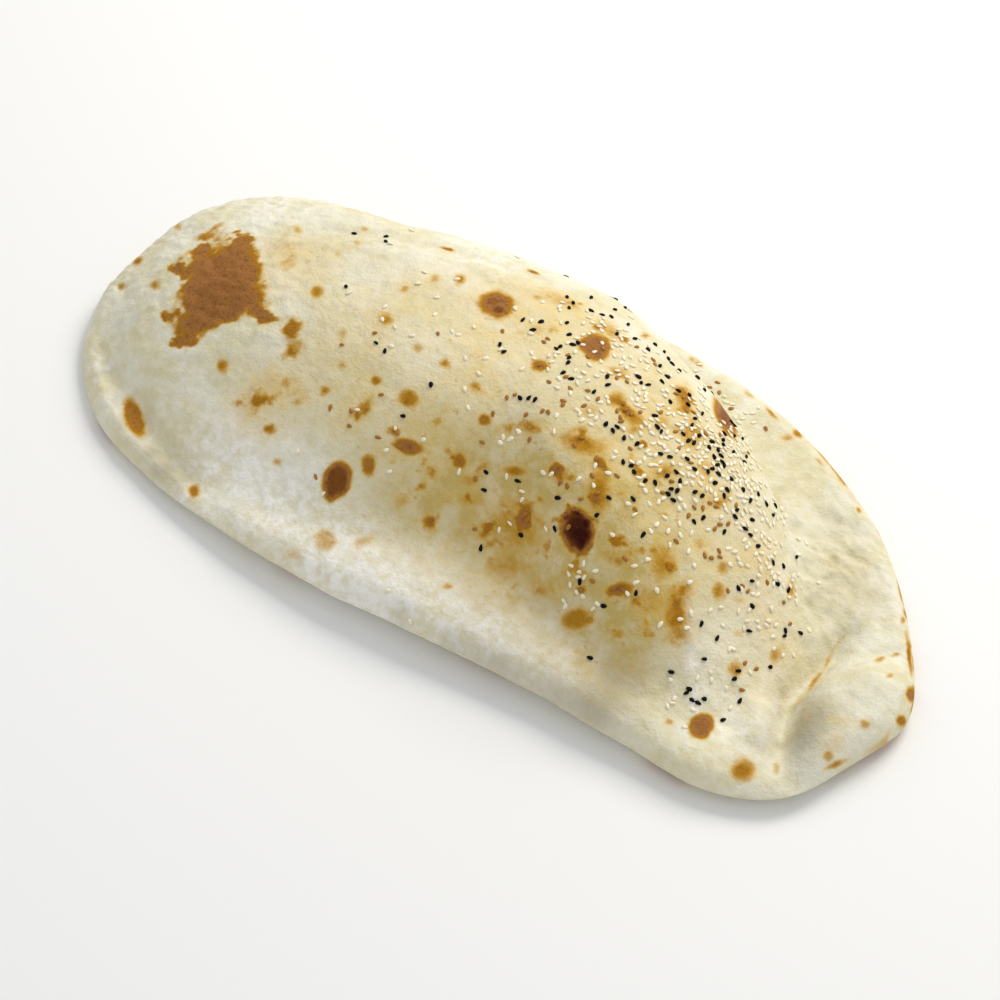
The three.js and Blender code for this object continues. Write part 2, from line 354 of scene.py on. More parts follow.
@dataclass
class BreadForm:
    """The bread's skin: an outline and rim by angle about the centre, a dome, a lobe and fold lines.

    Each station is: angle in degrees, reach of the edge, flange from the edge to the dome's foot,
    height of the edge, height of the rolled rim and width over which it rises. A pair such as the
    near slope is where a change begins and where it is complete.
    """

    centre: tuple[float, float] = (-2.0, 13.5)
    stations: tuple[tuple[float, ...], ...] = (
        (-178, 219, 1, 7, 20, 15),
        (-170, 221, 2, 6.5, 18, 11),
        (-162, 215.5, 4, 5, 12, 9),
        (-150, 195, 11, 5, 13, 10),
        (-138, 168, 9, 6, 13, 11),
        (-122, 141, 6, 10, 17, 18),
        (-105, 126.5, 9, 12, 22.5, 23),
        (-88, 120.5, 17, 13.5, 25, 26),
        (-70, 125, 24, 13.5, 25, 29),
        (-52, 143.5, 25, 12, 23, 31),
        (-40, 175, 19, 10, 20, 32),
        (-33, 204, 25, 8, 16.5, 30),
        (-26, 222, 33, 8, 13, 24),
        (-17, 225, 44, 7, 10, 17),
        (-8, 225, 55, 6, 9, 12),
        (2, 202, 52, 5, 9, 9),
        (14, 176, 50, 5, 8, 8),
        (30, 145, 40, 5, 8, 8),
        (52, 115, 27, 5, 8, 8),
        (80, 97, 12, 5, 9, 8),
        (110, 99, 9, 5, 9, 8),
        (135, 122, 9, 5, 9, 9),
        (152, 154, 10, 5, 12, 11),
        (164, 193, 3, 7, 20, 15),
        (174, 214, 1, 7, 24, 16),
    )
    crest: tuple[tuple[float, float], ...] = (
        (-217, 63), (-147, 62), (-77, 72), (-17, 75), (53, 78.5), (113, 78.5), (168, 61),
    )
    lobe_centre: tuple[float, float] = (203.0, -30.0)
    lobe_half: tuple[float, float] = (27.0, 52.0)
    lobe_turn: float = -2.0
    lobe_height: float = 22.0
    lobe_square: float = 2.3
    lobe_slack: float = 1.3
    near_slope: tuple[float, float] = (36.5, -68.5)
    left_end: tuple[float, float] = (-57.0, -187.0)
    right_end: tuple[float, float] = (3.0, 203.0)
    dome_blend: tuple[float, float] = (6.0, 11.0)
    lobe_blend: float = 3.0
    grooves: tuple[Groove, ...] = (
        Groove(1.5, 5, ((-147, 21.5), (-102, 41.5), (-57, 53.5), (-7, 59.5), (28, 57.5))),
        Groove(4.0, 6, ((-198, -56), (-183, -60), (-165, -67), (-145, -78), (-115, -90), (-78, -101))),
        Groove(8.5, 5.5, ((184, 16), (180, 6), (177, -8), (175, -24), (174, -38), (179, -50), (187, -66),
                          (190, -76))),
        Groove(2.0, 6, ((123, 63.5), (138, 51.5), (145, 37.5))),
        Groove(2.0, 7, ((155, -50), (159, -62), (163, -74))),
        Groove(-3.0, 7, ((166, -46), (171, -60), (176, -74))),
        Groove(-1.2, 3.5, ((116, -24), (122.7, -37), (133.6, -53), (140, -62))),
    )
    waves: Layer = Layer(0.9, 22, 31)
    ripples: Layer = Layer(0.55, 8, 37)
    skin_layers: tuple[Layer, ...] = (Layer(1.0, 60, 3), Layer(0.7, 22, 5, 2), Layer(0.32, 7, 11, 2))
    puckers: Layer = Layer(0.9, 10, 17, 2)
    creases: Layer = Layer(2.1, 6.5, 19, 2)
    crease_centre: tuple[float, float] = (153.0, 28.0)
    crease_half: tuple[float, float] = (17.0, 36.0)
    wrinkles: Layer = Layer(1.0, 5.5, 23, 2)
    wrinkle_patches: Layer = Layer(1.0, 30, 29)
    edge_round: float = 10.0
    turn_under: tuple[float, float] = (1.6, 8.0)
    outline_points: int = 6000
    rows_along: int = 400
    rows_across: int = 196
    edge_crowding: float = 0.45
    under_rings: int = 12
    foot_rings: int = 4
    ray_top: float = 95.0
    ray_steps: int = 600

    def around(self, column: int, angle: np.ndarray) -> np.ndarray:
        """One column of the stations as a closed curve.

        Args:
            column: which one.
            angle: directions from the centre, in radians.

        Returns:
            The column's value in each direction.
        """
        table = np.array(self.stations, dtype=float)
        angles = np.radians(table[:, 0])
        xs = np.concatenate([angles - 2 * np.pi, angles, angles + 2 * np.pi])
        return curve_through(xs, np.tile(table[:, column], 3), angle)

    def reach(self, angle: np.ndarray) -> np.ndarray:
        """Reach of the edge: the stations' curve with a waviness, finer past the lobe."""
        ring = np.stack([np.cos(angle) * 100, np.sin(angle) * 60, np.zeros_like(angle)], axis=-1)
        return self.around(1, angle) + self.waves.at(ring) + self.ripples.at(ring) * ease(-0.9, -0.3, angle)

    def dome(self, x: np.ndarray, y: np.ndarray, outward: np.ndarray) -> np.ndarray:
        """The crest's height times (1 - r^swell)^fall, with r from 0 at the centre to 1 at the foot.

        Args:
            x: places along the bread, in millimetres.
            y: places across it, in millimetres.
            outward: r at each place.

        Returns:
            The dome's height at each place, negative beyond its foot.
        """
        near, left, right = ease(*self.near_slope, y), ease(*self.left_end, x), ease(*self.right_end, x)
        fall = 0.5 + 0.5 * near * (1 - 0.55 * left) * (1 - 0.35 * right)
        swell = 2.3 + 1.7 * left * (1 - 0.6 * near) - 0.35 * near * (1 - right)
        table = np.array(self.crest, dtype=float)
        return curve_through(table[:, 0], table[:, 1], x) * signed_power(1 - outward ** swell, fall)

    def lobe(self, x: np.ndarray, y: np.ndarray) -> np.ndarray:
        """Half an ellipsoid with a squarish plan, whose sides slacken toward its far end.

        Args:
            x: places along the bread, in millimetres.
            y: places across it, in millimetres.

        Returns:
            The lobe's height at each place, negative outside it.
        """
        turn = math.radians(self.lobe_turn)
        dx, dy = x - self.lobe_centre[0], y - self.lobe_centre[1]
        across = (dx * math.cos(turn) + dy * math.sin(turn)) / self.lobe_half[0]
        along = (dy * math.cos(turn) - dx * math.sin(turn)) / self.lobe_half[1]
        out = np.abs(across) ** self.lobe_square + np.abs(along) ** self.lobe_square
        fall = 0.5 + self.lobe_slack * ease(-0.2, 0.9, along)
        return self.lobe_height * signed_power(1 - out ** (2 / self.lobe_square), fall)

    def skin(self, x: np.ndarray, y: np.ndarray) -> np.ndarray:
        """Fine relief: swells, dimples and a grain, with puckers on the flange and wrinkles at the left.

        The flange is creased most along the dome's right foot. The wrinkles come in patches, and are
        nearly half as long again along the bread as across it.

        Args:
            x: places along the bread, in millimetres.
            y: places across it, in millimetres.

        Returns:
            The relief's height at each place.
        """
        flat = np.stack([x, y, np.zeros_like(x)], axis=-1)
        height = sum(layer.at(flat) for layer in self.skin_layers)
        flange = ease(95, 150, x) * ease(-25, 15, y)
        right, back = x - self.crease_centre[0], y - self.crease_centre[1]
        foot = np.exp(-(right / self.crease_half[0]) ** 2 - (back / self.crease_half[1]) ** 2)
        patches = 0.45 + 0.55 * ease(-0.3, 0.4, self.wrinkle_patches.at(flat))
        height += flange * self.puckers.at(flat) + foot * self.creases.at(flat)
        return height + ease(-60, -140, x) * patches * self.wrinkles.at(flat * (0.7, 1.0, 1.0))

    def height(self, x: np.ndarray, y: np.ndarray) -> np.ndarray:
        """Height of the upper skin: roll, dome and lobe by soft_max, and its relief, rounded at the edge.

        Args:
            x: places along the bread, in millimetres.
            y: places across it, in millimetres.

        Returns:
            The height at each place.
        """
        dx, dy = x - self.centre[0], y - self.centre[1]
        angle, out = np.arctan2(dy, dx), np.hypot(dx, dy)
        reach, flange, edge = self.reach(angle), self.around(2, angle), self.around(3, angle)
        inward = reach - out
        roll = edge + (self.around(4, angle) - edge) * quarter_round(inward / self.around(5, angle))
        softness = ease(*self.near_slope, y) * (1 - 0.7 * ease(*self.left_end, x))
        sharp, soft = self.dome_blend
        dome = self.dome(x, y, out / (self.around(1, angle) - flange))
        top = soft_max(roll, dome, sharp + (soft - sharp) * softness)
        top = soft_max(top, self.lobe(x, y), self.lobe_blend)
        top = top + sum(groove.height(x, y) for groove in self.grooves) + self.skin(x, y)
        return edge + (top - edge) * quarter_round(inward / self.edge_round)

    def normals(self, x: np.ndarray, y: np.ndarray) -> np.ndarray:
        """Outward directions of the upper skin, from its slopes over a millimetre.

        Args:
            x: places along the bread, in millimetres.
            y: places across it, in millimetres.

        Returns:
            One unit row of three for each place.
        """
        slope_x = (self.height(x + 0.5, y) - self.height(x - 0.5, y))
        slope_y = (self.height(x, y + 0.5) - self.height(x, y - 0.5))
        normal = np.stack([-slope_x, -slope_y, np.ones_like(x)], axis=-1)
        return normal / np.linalg.norm(normal, axis=-1, keepdims=True)

    def hit(self, camera: PhotoCamera, pixels: np.ndarray) -> np.ndarray:
        """Points of the upper skin that show at pixels: the first step of each ray that is under it.

        Args:
            camera: the camera that the pixels belong to.
            pixels: one row of two for each point.

        Returns:
            One row of three for each pixel, in millimetres.
        """
        rays = camera.rays(pixels)
        share = np.linspace(0, 1, self.ray_steps)[None, :]
        begin = (self.ray_top - camera.place[2]) / rays[:, 2:3]
        end = -camera.place[2] / rays[:, 2:3]
        reach = begin + (end - begin) * share
        points = camera.place + reach[:, :, None] * rays[:, None, :]
        dx, dy = points[..., 0] - self.centre[0], points[..., 1] - self.centre[1]
        inside = np.hypot(dx, dy) < self.reach(np.arctan2(dy, dx))
        skin = np.where(inside, self.height(points[..., 0], points[..., 1]), -1.0)
        first = np.argmax(points[..., 2] <= skin + 0.1, axis=1)
        return points[np.arange(len(pixels)), first]

    def outline(self, x: np.ndarray) -> tuple[np.ndarray, np.ndarray]:
        """The outline's two sides, from points of it a quarter of a millimetre apart.

        Args:
            x: places along the bread, in millimetres.

        Returns:
            The near and the far y at each place.
        """
        angle = np.linspace(-np.pi, np.pi, self.outline_points, endpoint=False)
        points = self.reach(angle) * np.array([np.cos(angle), np.sin(angle)])
        points += np.array(self.centre)[:, None]
        ring = np.roll(points, -int(np.argmin(points[0])), axis=1)
        turn = int(np.argmax(ring[0]))
        near, far = ring[:, :turn + 1], np.concatenate([ring[:, turn:], ring[:, :1]], axis=1)[:, ::-1]
        return (np.interp(x, np.maximum.accumulate(near[0]), near[1]),
                np.interp(x, np.maximum.accumulate(far[0]), far[1]))

    def upper(self) -> tuple[np.ndarray, list[np.ndarray], np.ndarray]:
        """The upper skin, in rows from the near outline to the far one that crowd at the bread's two tips.

        Returns:
            The vertices in millimetres, the faces, and the numbers of the vertices round its edge.
        """
        angle = np.linspace(-np.pi, np.pi, self.outline_points)
        ends = self.centre[0] + self.reach(angle) * np.cos(angle)
        along = np.sin(np.linspace(-np.pi / 2, np.pi / 2, self.rows_along + 1))
        x = (ends.max() + ends.min()) / 2 + (ends.max() - ends.min()) / 2 * along
        near, far = self.outline(x)
        even = np.linspace(-1, 1, self.rows_across + 1)
        share = (1 - self.edge_crowding) * even + self.edge_crowding * np.sin(even * np.pi / 2)
        wide = np.broadcast_to(x[1:-1, None], (len(x) - 2, len(share)))
        deep = ((near + far) / 2)[1:-1, None] + ((far - near) / 2)[1:-1, None] * share
        body = np.stack([wide, deep, self.height(wide, deep)], axis=-1).reshape(-1, 3)
        lifts = self.around(3, np.arctan2(near[[0, -1]] - self.centre[1], x[[0, -1]]))
        tips = np.stack([x[[0, -1]], near[[0, -1]], lifts], axis=-1)
        number = np.arange(len(body)).reshape(wide.shape)
        quads = np.stack([number[:-1, :-1], number[1:, :-1], number[1:, 1:], number[:-1, 1:]], axis=-1)
        left, right = len(body), len(body) + 1
        first, last = number[0], number[-1]
        fans = np.concatenate([np.stack([np.full(len(first) - 1, left), first[:-1], first[1:]], axis=-1),
                               np.stack([last[:-1], np.full(len(last) - 1, right), last[1:]], axis=-1)])
        edge = np.concatenate([[left], number[:, 0], [right], number[::-1, -1]])
        return np.concatenate([body, tips]), [quads.reshape(-1, 4), fans], edge

    def under(self, top: np.ndarray, edge: np.ndarray) -> tuple[np.ndarray, list[np.ndarray]]:
        """The skin under the edge: rings that turn in by a quarter round, and rings of the flat foot.

        Args:
            top: the vertices of the upper skin, which the new ones are numbered after.
            edge: the numbers of those round its edge.

        Returns:
            The new vertices in millimetres and the faces.
        """
        angles = np.arctan2(top[edge, 1] - self.centre[1], top[edge, 0] - self.centre[0])
        reach, lift = np.hypot(*(top[edge, :2] - self.centre).T), top[edge, 2]
        under = self.turn_under[0] * lift + self.turn_under[1]
        rows = np.arange(1, self.under_rings + 1)[:, None] / self.under_rings
        inner = np.arange(1, self.foot_rings + 1)[:, None] / (self.foot_rings + 1)
        out = np.concatenate([reach - under * rows, (reach - under) * (1 - inner)])
        low = np.concatenate([lift * (1 - quarter_round(rows)), np.zeros((self.foot_rings, len(edge)))])
        points = [self.centre[0] + out * np.cos(angles), self.centre[1] + out * np.sin(angles), low]
        pole = [[self.centre[0], self.centre[1], 0.0]]
        vertices = np.concatenate([np.stack(points, axis=-1).reshape(-1, 3), pole])
        loops = np.concatenate([edge[None], len(top) + np.arange(out.size).reshape(out.shape)])
        after = np.roll(loops, -1, axis=1)
        sides = np.stack([after[:-1], loops[:-1], loops[1:], after[1:]], axis=-1).reshape(-1, 4)
        cap = np.stack([after[-1], loops[-1], np.full(len(edge), len(top) + len(vertices) - 1)], axis=-1)
        return vertices, [sides, cap]

    def mesh(self) -> tuple[np.ndarray, list[np.ndarray], int]:
        """The closed skin.

        Returns:
            The vertices in millimetres, the faces, and how many vertices the top has.
        """
        top, faces, edge = self.upper()
        below, closing = self.under(top, edge)
        return np.concatenate([top, below]), faces + closing, len(top)


# ---------------------------------------------------------------- the oven's marks, and tints with painted shade and highlight


@dataclass(frozen=True)
class Mark:
    """A browned spot, a few of them lines of painted shade in a crease: its middle and size in pixels, how
    dark it is, its turn and how softly it ends.
    """

    across: float
    down: float
    width: float
    height: float
    dark: float
    turn: float = 0.0
    soft: float | None = None

    def softness(self) -> float:
        """Share of the radius over which the edge fades: about 9 pixels, from 0.3 to 0.8."""
        return min(0.8, max(0.3, 9 / min(self.width, self.height))) if self.soft is None else self.soft

    def wander(self) -> tuple[float, float]:
        """Pixels by which the outline strays broadly, a twelfth of the smaller size, and finely."""
        broad = min(8.0, max(1.5, min(self.width, self.height) / 12))
        return broad, 0.6 * broad


@dataclass(frozen=True)
class Scorch(Mark):
    """A part of the large scorch, whose outline is torn."""

    def wander(self) -> tuple[float, float]:
        """The same for every part, so that they keep together."""
        return 8.0, 4.5


@dataclass(frozen=True)
class Tint:
    """A broad soft patch of colour: its middle and radius in pixels, and how strong it is."""

    across: float
    down: float
    radius: float
    strength: float


# The scorch at the left: overlapping ovals, by across, down, width, height, darkness, turn and softness.
SCORCH = tuple(Scorch(*row) for row in (
    (232, 271, 56, 66, 0.64, 0, 0.3), (222, 300, 90, 50, 0.66, 0, 0.32),
    (200, 318, 52, 38, 0.64, -20, 0.34), (262, 312, 34, 17, 0.62, 15, 0.3),
    (185, 341, 32, 16, 0.58, -25, 0.3), (171, 316, 28, 14, 0.55, 0, 0.5), (206, 264, 42, 36, 0.62, 0, 0.3),
    (186, 270, 36, 14, 0.58, 10, 0.4), (236, 244, 36, 22, 0.6, 0, 0.3), (212, 235, 26, 18, 0.42, 0, 0.6),
    (194, 297, 32, 38, 0.62, 0, 0.3), (291, 330, 28, 24, 0.5, 10, 0.5), (292, 348, 22, 20, 0.38, 0, 0.6),
    (214, 284, 56, 36, 0.64, 0, 0.3),
))
# The other browned spots, likewise: the large ones, the small ones, those at the edge, the soft ones, and
# four thin lines of painted shade along the lobe's crease.
DARK_MARKS = tuple(Mark(*row) for row in (
    (336, 481, 30, 44, 0.76, 15), (577, 531, 34, 50, 0.95, -8, 0.36), (725, 417, 16, 46, 0.76, -25),
    (496, 305, 38, 29, 0.6, 8), (595, 347, 34, 27, 0.66, 20), (134, 418, 22, 44, 0.54, -22),
    (409, 447, 32, 17, 0.66, 18), (369, 466, 15, 25, 0.6), (576, 619, 34, 26, 0.41, -10),
    (623, 590, 26, 18, 0.5), (701, 726, 26, 30, 0.66, 35), (743, 770, 26, 24, 0.5, 0, 0.8),
    (325, 540, 26, 26, 0.3, 10), (363, 541, 28, 12, 0.29, -12), (222, 366, 14, 16, 0.46),
    (459, 461, 17, 18, 0.54), (515, 471, 26, 12, 0.5, 5), (409, 398, 24, 22, 0.43), (675, 616, 26, 30, 0.4),
    (719, 592, 16, 24, 0.36), (723, 568, 16, 16, 0.36), (429, 520, 18, 12, 0.52), (540, 366, 20, 14, 0.62),
    (475, 386, 14, 12, 0.42), (366, 406, 26, 12, 0.42, -60), (357, 414, 12, 14, 0.4),
    (270, 430, 14, 12, 0.4), (276, 462, 12, 10, 0.36), (194, 491, 12, 16, 0.54), (325, 390, 12, 12, 0.46),
    (375, 380, 10, 10, 0.42), (343, 335, 12, 16, 0.3), (342, 365, 10, 10, 0.36), (386, 319, 16, 16, 0.36),
    (317, 292, 16, 16, 0.42), (155, 285, 11, 11, 0.4), (122, 286, 10, 10, 0.38), (178, 227, 10, 10, 0.36),
    (138, 261, 12, 8, 0.5, -35), (297, 229, 12, 10, 0.34), (460, 279, 14, 12, 0.36),
    (435, 279, 12, 10, 0.32), (405, 289, 12, 10, 0.36), (364, 229, 9, 7, 0.34), (445, 364, 14, 12, 0.46),
    (485, 419, 16, 14, 0.44), (600, 499, 18, 14, 0.5), (606, 480, 12, 10, 0.4), (570, 478, 14, 10, 0.46),
    (663, 571, 18, 14, 0.4), (634, 430, 16, 12, 0.38), (448, 587, 12, 10, 0.36), (777, 655, 14, 10, 0.36),
    (735, 673, 12, 10, 0.36), (866, 724, 14, 14, 0.34), (829, 756, 14, 16, 0.36), (777, 768, 8, 14, 0.34),
    (881, 659, 14, 6, 0.38, -20), (896, 655, 10, 6, 0.36, -20), (890, 676, 10, 6, 0.36, -20),
    (787, 438, 14, 10, 0.34), (699, 364, 10, 6, 0.4, 30), (667, 472, 14, 12, 0.38), (624, 340, 12, 9, 0.46),
    (645, 336, 10, 8, 0.42), (620, 396, 12, 10, 0.38), (293, 554, 22, 14, 0.26), (256, 402, 16, 12, 0.34),
    (299, 402, 16, 12, 0.32), (240, 404, 22, 12, 0.3), (418, 348, 14, 10, 0.34), (395, 431, 14, 12, 0.5),
    (422, 487, 12, 10, 0.45), (581, 590, 12, 10, 0.5), (670, 722, 12, 8, 0.34), (692, 360, 10, 6, 0.36, 30),
    (749, 395, 16, 6, 0.3, 40), (772, 413, 20, 5, 0.42, 45), (797, 434, 12, 8, 0.48, 40),
    (820, 461, 14, 5, 0.32, 45), (841, 479, 10, 5, 0.34, 50), (859, 510, 8, 5, 0.42, 60),
    (903, 620, 6, 10, 0.38), (909, 655, 6, 46, 0.5, -5), (911, 694, 10, 18, 0.64), (901, 722, 10, 14, 0.55),
    (836, 765, 26, 8, 0.42, -25), (791, 590, 10, 22, 0.4), (776, 655, 16, 22, 0.34, 30),
    (738, 634, 14, 10, 0.28), (735, 668, 18, 20, 0.34), (740, 600, 20, 12, 0.24), (746, 566, 8, 8, 0.32),
    (357, 244, 10, 9, 0.3), (338, 254, 8, 12, 0.26), (538, 297, 12, 7, 0.34), (598, 328, 12, 9, 0.42),
    # The four thin marks from (840, 641) to (800, 700) are painted shade along the lobe's crease.
    (447, 249, 14, 4, 0.62, 18), (534, 273, 14, 4, 0.62, 20), (840, 641, 26, 4, 0.34, -47),
    (828, 660, 24, 5, 0.38, -66), (815, 681, 30, 6, 0.4, -52), (800, 700, 20, 6, 0.24, -50, 1.0),
    (835, 745, 30, 26, 0.2, -30, 1.0), (842, 722, 34, 14, 0.2, 0, 1.0), (252, 402, 56, 28, 0.22, 0, 1.0),
    (302, 396, 22, 22, 0.22, 0, 1.0), (272, 380, 40, 18, 0.18, 0, 1.0), (286, 246, 40, 34, 0.22, 0, 1.0),
    (583, 444, 56, 22, 0.42, 12, 1.0), (530, 428, 40, 18, 0.3, -10, 1.0), (600, 490, 24, 50, 0.44, 0, 1.0),
    (616, 400, 22, 16, 0.42, 0, 1.0), (634, 418, 36, 16, 0.42, 35, 1.0), (560, 478, 24, 26, 0.3, 0, 1.0),
    (515, 528, 70, 60, 0.34, 30, 1.0), (505, 565, 50, 40, 0.3, 0, 1.0), (612, 556, 34, 22, 0.32, 30, 1.0),
    (664, 564, 26, 44, 0.38, 0, 1.0), (676, 612, 26, 60, 0.4, 0, 1.0), (650, 600, 50, 34, 0.3, 20, 1.0),
    (470, 500, 50, 20, 0.28, 0, 1.0), (684, 400, 20, 30, 0.38, 0, 1.0), (692, 440, 24, 22, 0.34, 0, 1.0),
    (664, 470, 30, 18, 0.34, 0, 1.0), (620, 372, 22, 12, 0.34, 0, 1.0), (716, 500, 30, 20, 0.26, 0, 1.0),
    (560, 300, 44, 16, 0.28, 25, 1.0), (610, 330, 34, 16, 0.32, 35, 1.0), (536, 330, 30, 16, 0.24, 0, 1.0),
    (470, 480, 30, 18, 0.3, 0, 1.0), (432, 470, 24, 20, 0.24, 0, 1.0), (545, 590, 40, 20, 0.28, 10, 1.0),
    (590, 410, 24, 12, 0.3, 0, 1.0), (705, 470, 16, 24, 0.3, -20, 1.0), (700, 545, 20, 18, 0.26, 0, 1.0),
))
# Broad patches, by across, down, radius and strength: where the skin is warm, greenish gold, whitened, or
# grey with painted shade. Some greenish gold patches are painted shade too, and the whitened ones are
# partly painted highlight.
WARM_TINTS = tuple(Tint(*row) for row in (
    (300, 265, 45, 0.6), (268, 398, 42, 0.8), (350, 330, 55, 0.35), (490, 365, 70, 0.55),
    (360, 400, 45, 0.5), (640, 400, 75, 0.45), (700, 500, 65, 0.4), (735, 570, 45, 0.3),
    (768, 560, 30, 0.35), (765, 610, 30, 0.15), (410, 290, 55, 0.3), (430, 450, 50, 0.6),
    (570, 320, 50, 0.5), (740, 670, 45, 0.25), (500, 300, 50, 0.4), (620, 480, 60, 0.5),
    (780, 640, 25, 0.45), (715, 450, 50, 0.25), (660, 400, 40, 0.2),
))
# Greenish gold tan of the dough; the patches in the lobe's crease, on the flange, among the seeds and at
# the left lip are painted shade as well.
OLIVE_AND_SHADE_TINTS = tuple(Tint(*row) for row in (
    (470, 465, 50, 0.7), (452, 525, 35, 0.35), (530, 530, 65, 0.9), (600, 570, 65, 0.9),
    (560, 480, 60, 0.7), (650, 620, 45, 0.8), (410, 500, 50, 0.5), (640, 520, 45, 0.6), (500, 590, 35, 0.4),
    (400, 440, 50, 0.2), (665, 400, 35, 0.22), (580, 650, 40, 0.35), (610, 680, 45, 0.3),
    (420, 545, 40, 0.2), (850, 585, 40, 0.2), (805, 715, 22, 0.4), (830, 520, 40, 0.12),
    (170, 470, 30, 0.15),
))
# Painted shade: grey patches on the left lip and the left end, in the lobe's crease, along the dome's right
# foot and the near rolled edge, on the flange and the lobe, and among the seeds.
PAINTED_SHADE_TINTS = tuple(Tint(*row) for row in (
    (118, 400, 11, 0.35), (128, 418, 11, 0.35), (140, 436, 11, 0.4), (152, 452, 12, 0.6),
    (166, 468, 14, 0.75), (181, 481, 13, 0.45), (102, 372, 11, 0.3), (812, 715, 24, 0.8),
    (802, 745, 20, 0.6), (815, 690, 16, 0.3), (780, 715, 9, 0.4), (780, 745, 9, 0.4), (783, 692, 8, 0.3),
    (808, 560, 9, 0.3), (812, 600, 10, 0.4), (806, 640, 10, 0.35), (795, 525, 8, 0.3), (780, 490, 8, 0.25),
    (500, 668, 18, 0.45), (450, 643, 16, 0.35), (550, 695, 18, 0.4), (475, 656, 18, 0.3),
    (525, 682, 18, 0.3), (575, 706, 18, 0.3), (400, 615, 14, 0.25), (600, 716, 20, 0.35),
    (612, 684, 28, 0.65), (850, 590, 34, 0.22), (762, 735, 18, 0.25), (700, 450, 50, 0.22),
    (840, 530, 30, 0.15), (130, 315, 26, 0.15), (865, 690, 24, 0.15),
))
# Painted highlight, with some real dust: whitening on the left lip, the near shelf, the left slope, the
# crest and the flange, where they face the light.
FLOUR_AND_HIGHLIGHT_TINTS = tuple(Tint(*row) for row in (
    (100, 368, 14, 0.7), (118, 400, 14, 0.8), (140, 436, 14, 0.5), (166, 468, 14, 0.35),
    (190, 492, 14, 0.6), (330, 560, 45, 1.0), (355, 585, 40, 0.8), (400, 590, 50, 0.9), (480, 630, 45, 0.9),
    (550, 670, 40, 0.7), (280, 500, 50, 0.9), (230, 455, 50, 0.9), (740, 720, 45, 0.5), (760, 618, 28, 0.3),
    (880, 600, 50, 0.3), (380, 210, 60, 0.7), (280, 208, 40, 0.6), (500, 255, 50, 0.6),
))
# Painted highlight down the low ridge on the dome's near right slope, from its foot up.
RIDGE_HIGHLIGHT = tuple(Tint(694 - 12 * t * t, 708 - 133 * t, 5, 0.9) for t in np.linspace(0, 1, 16))


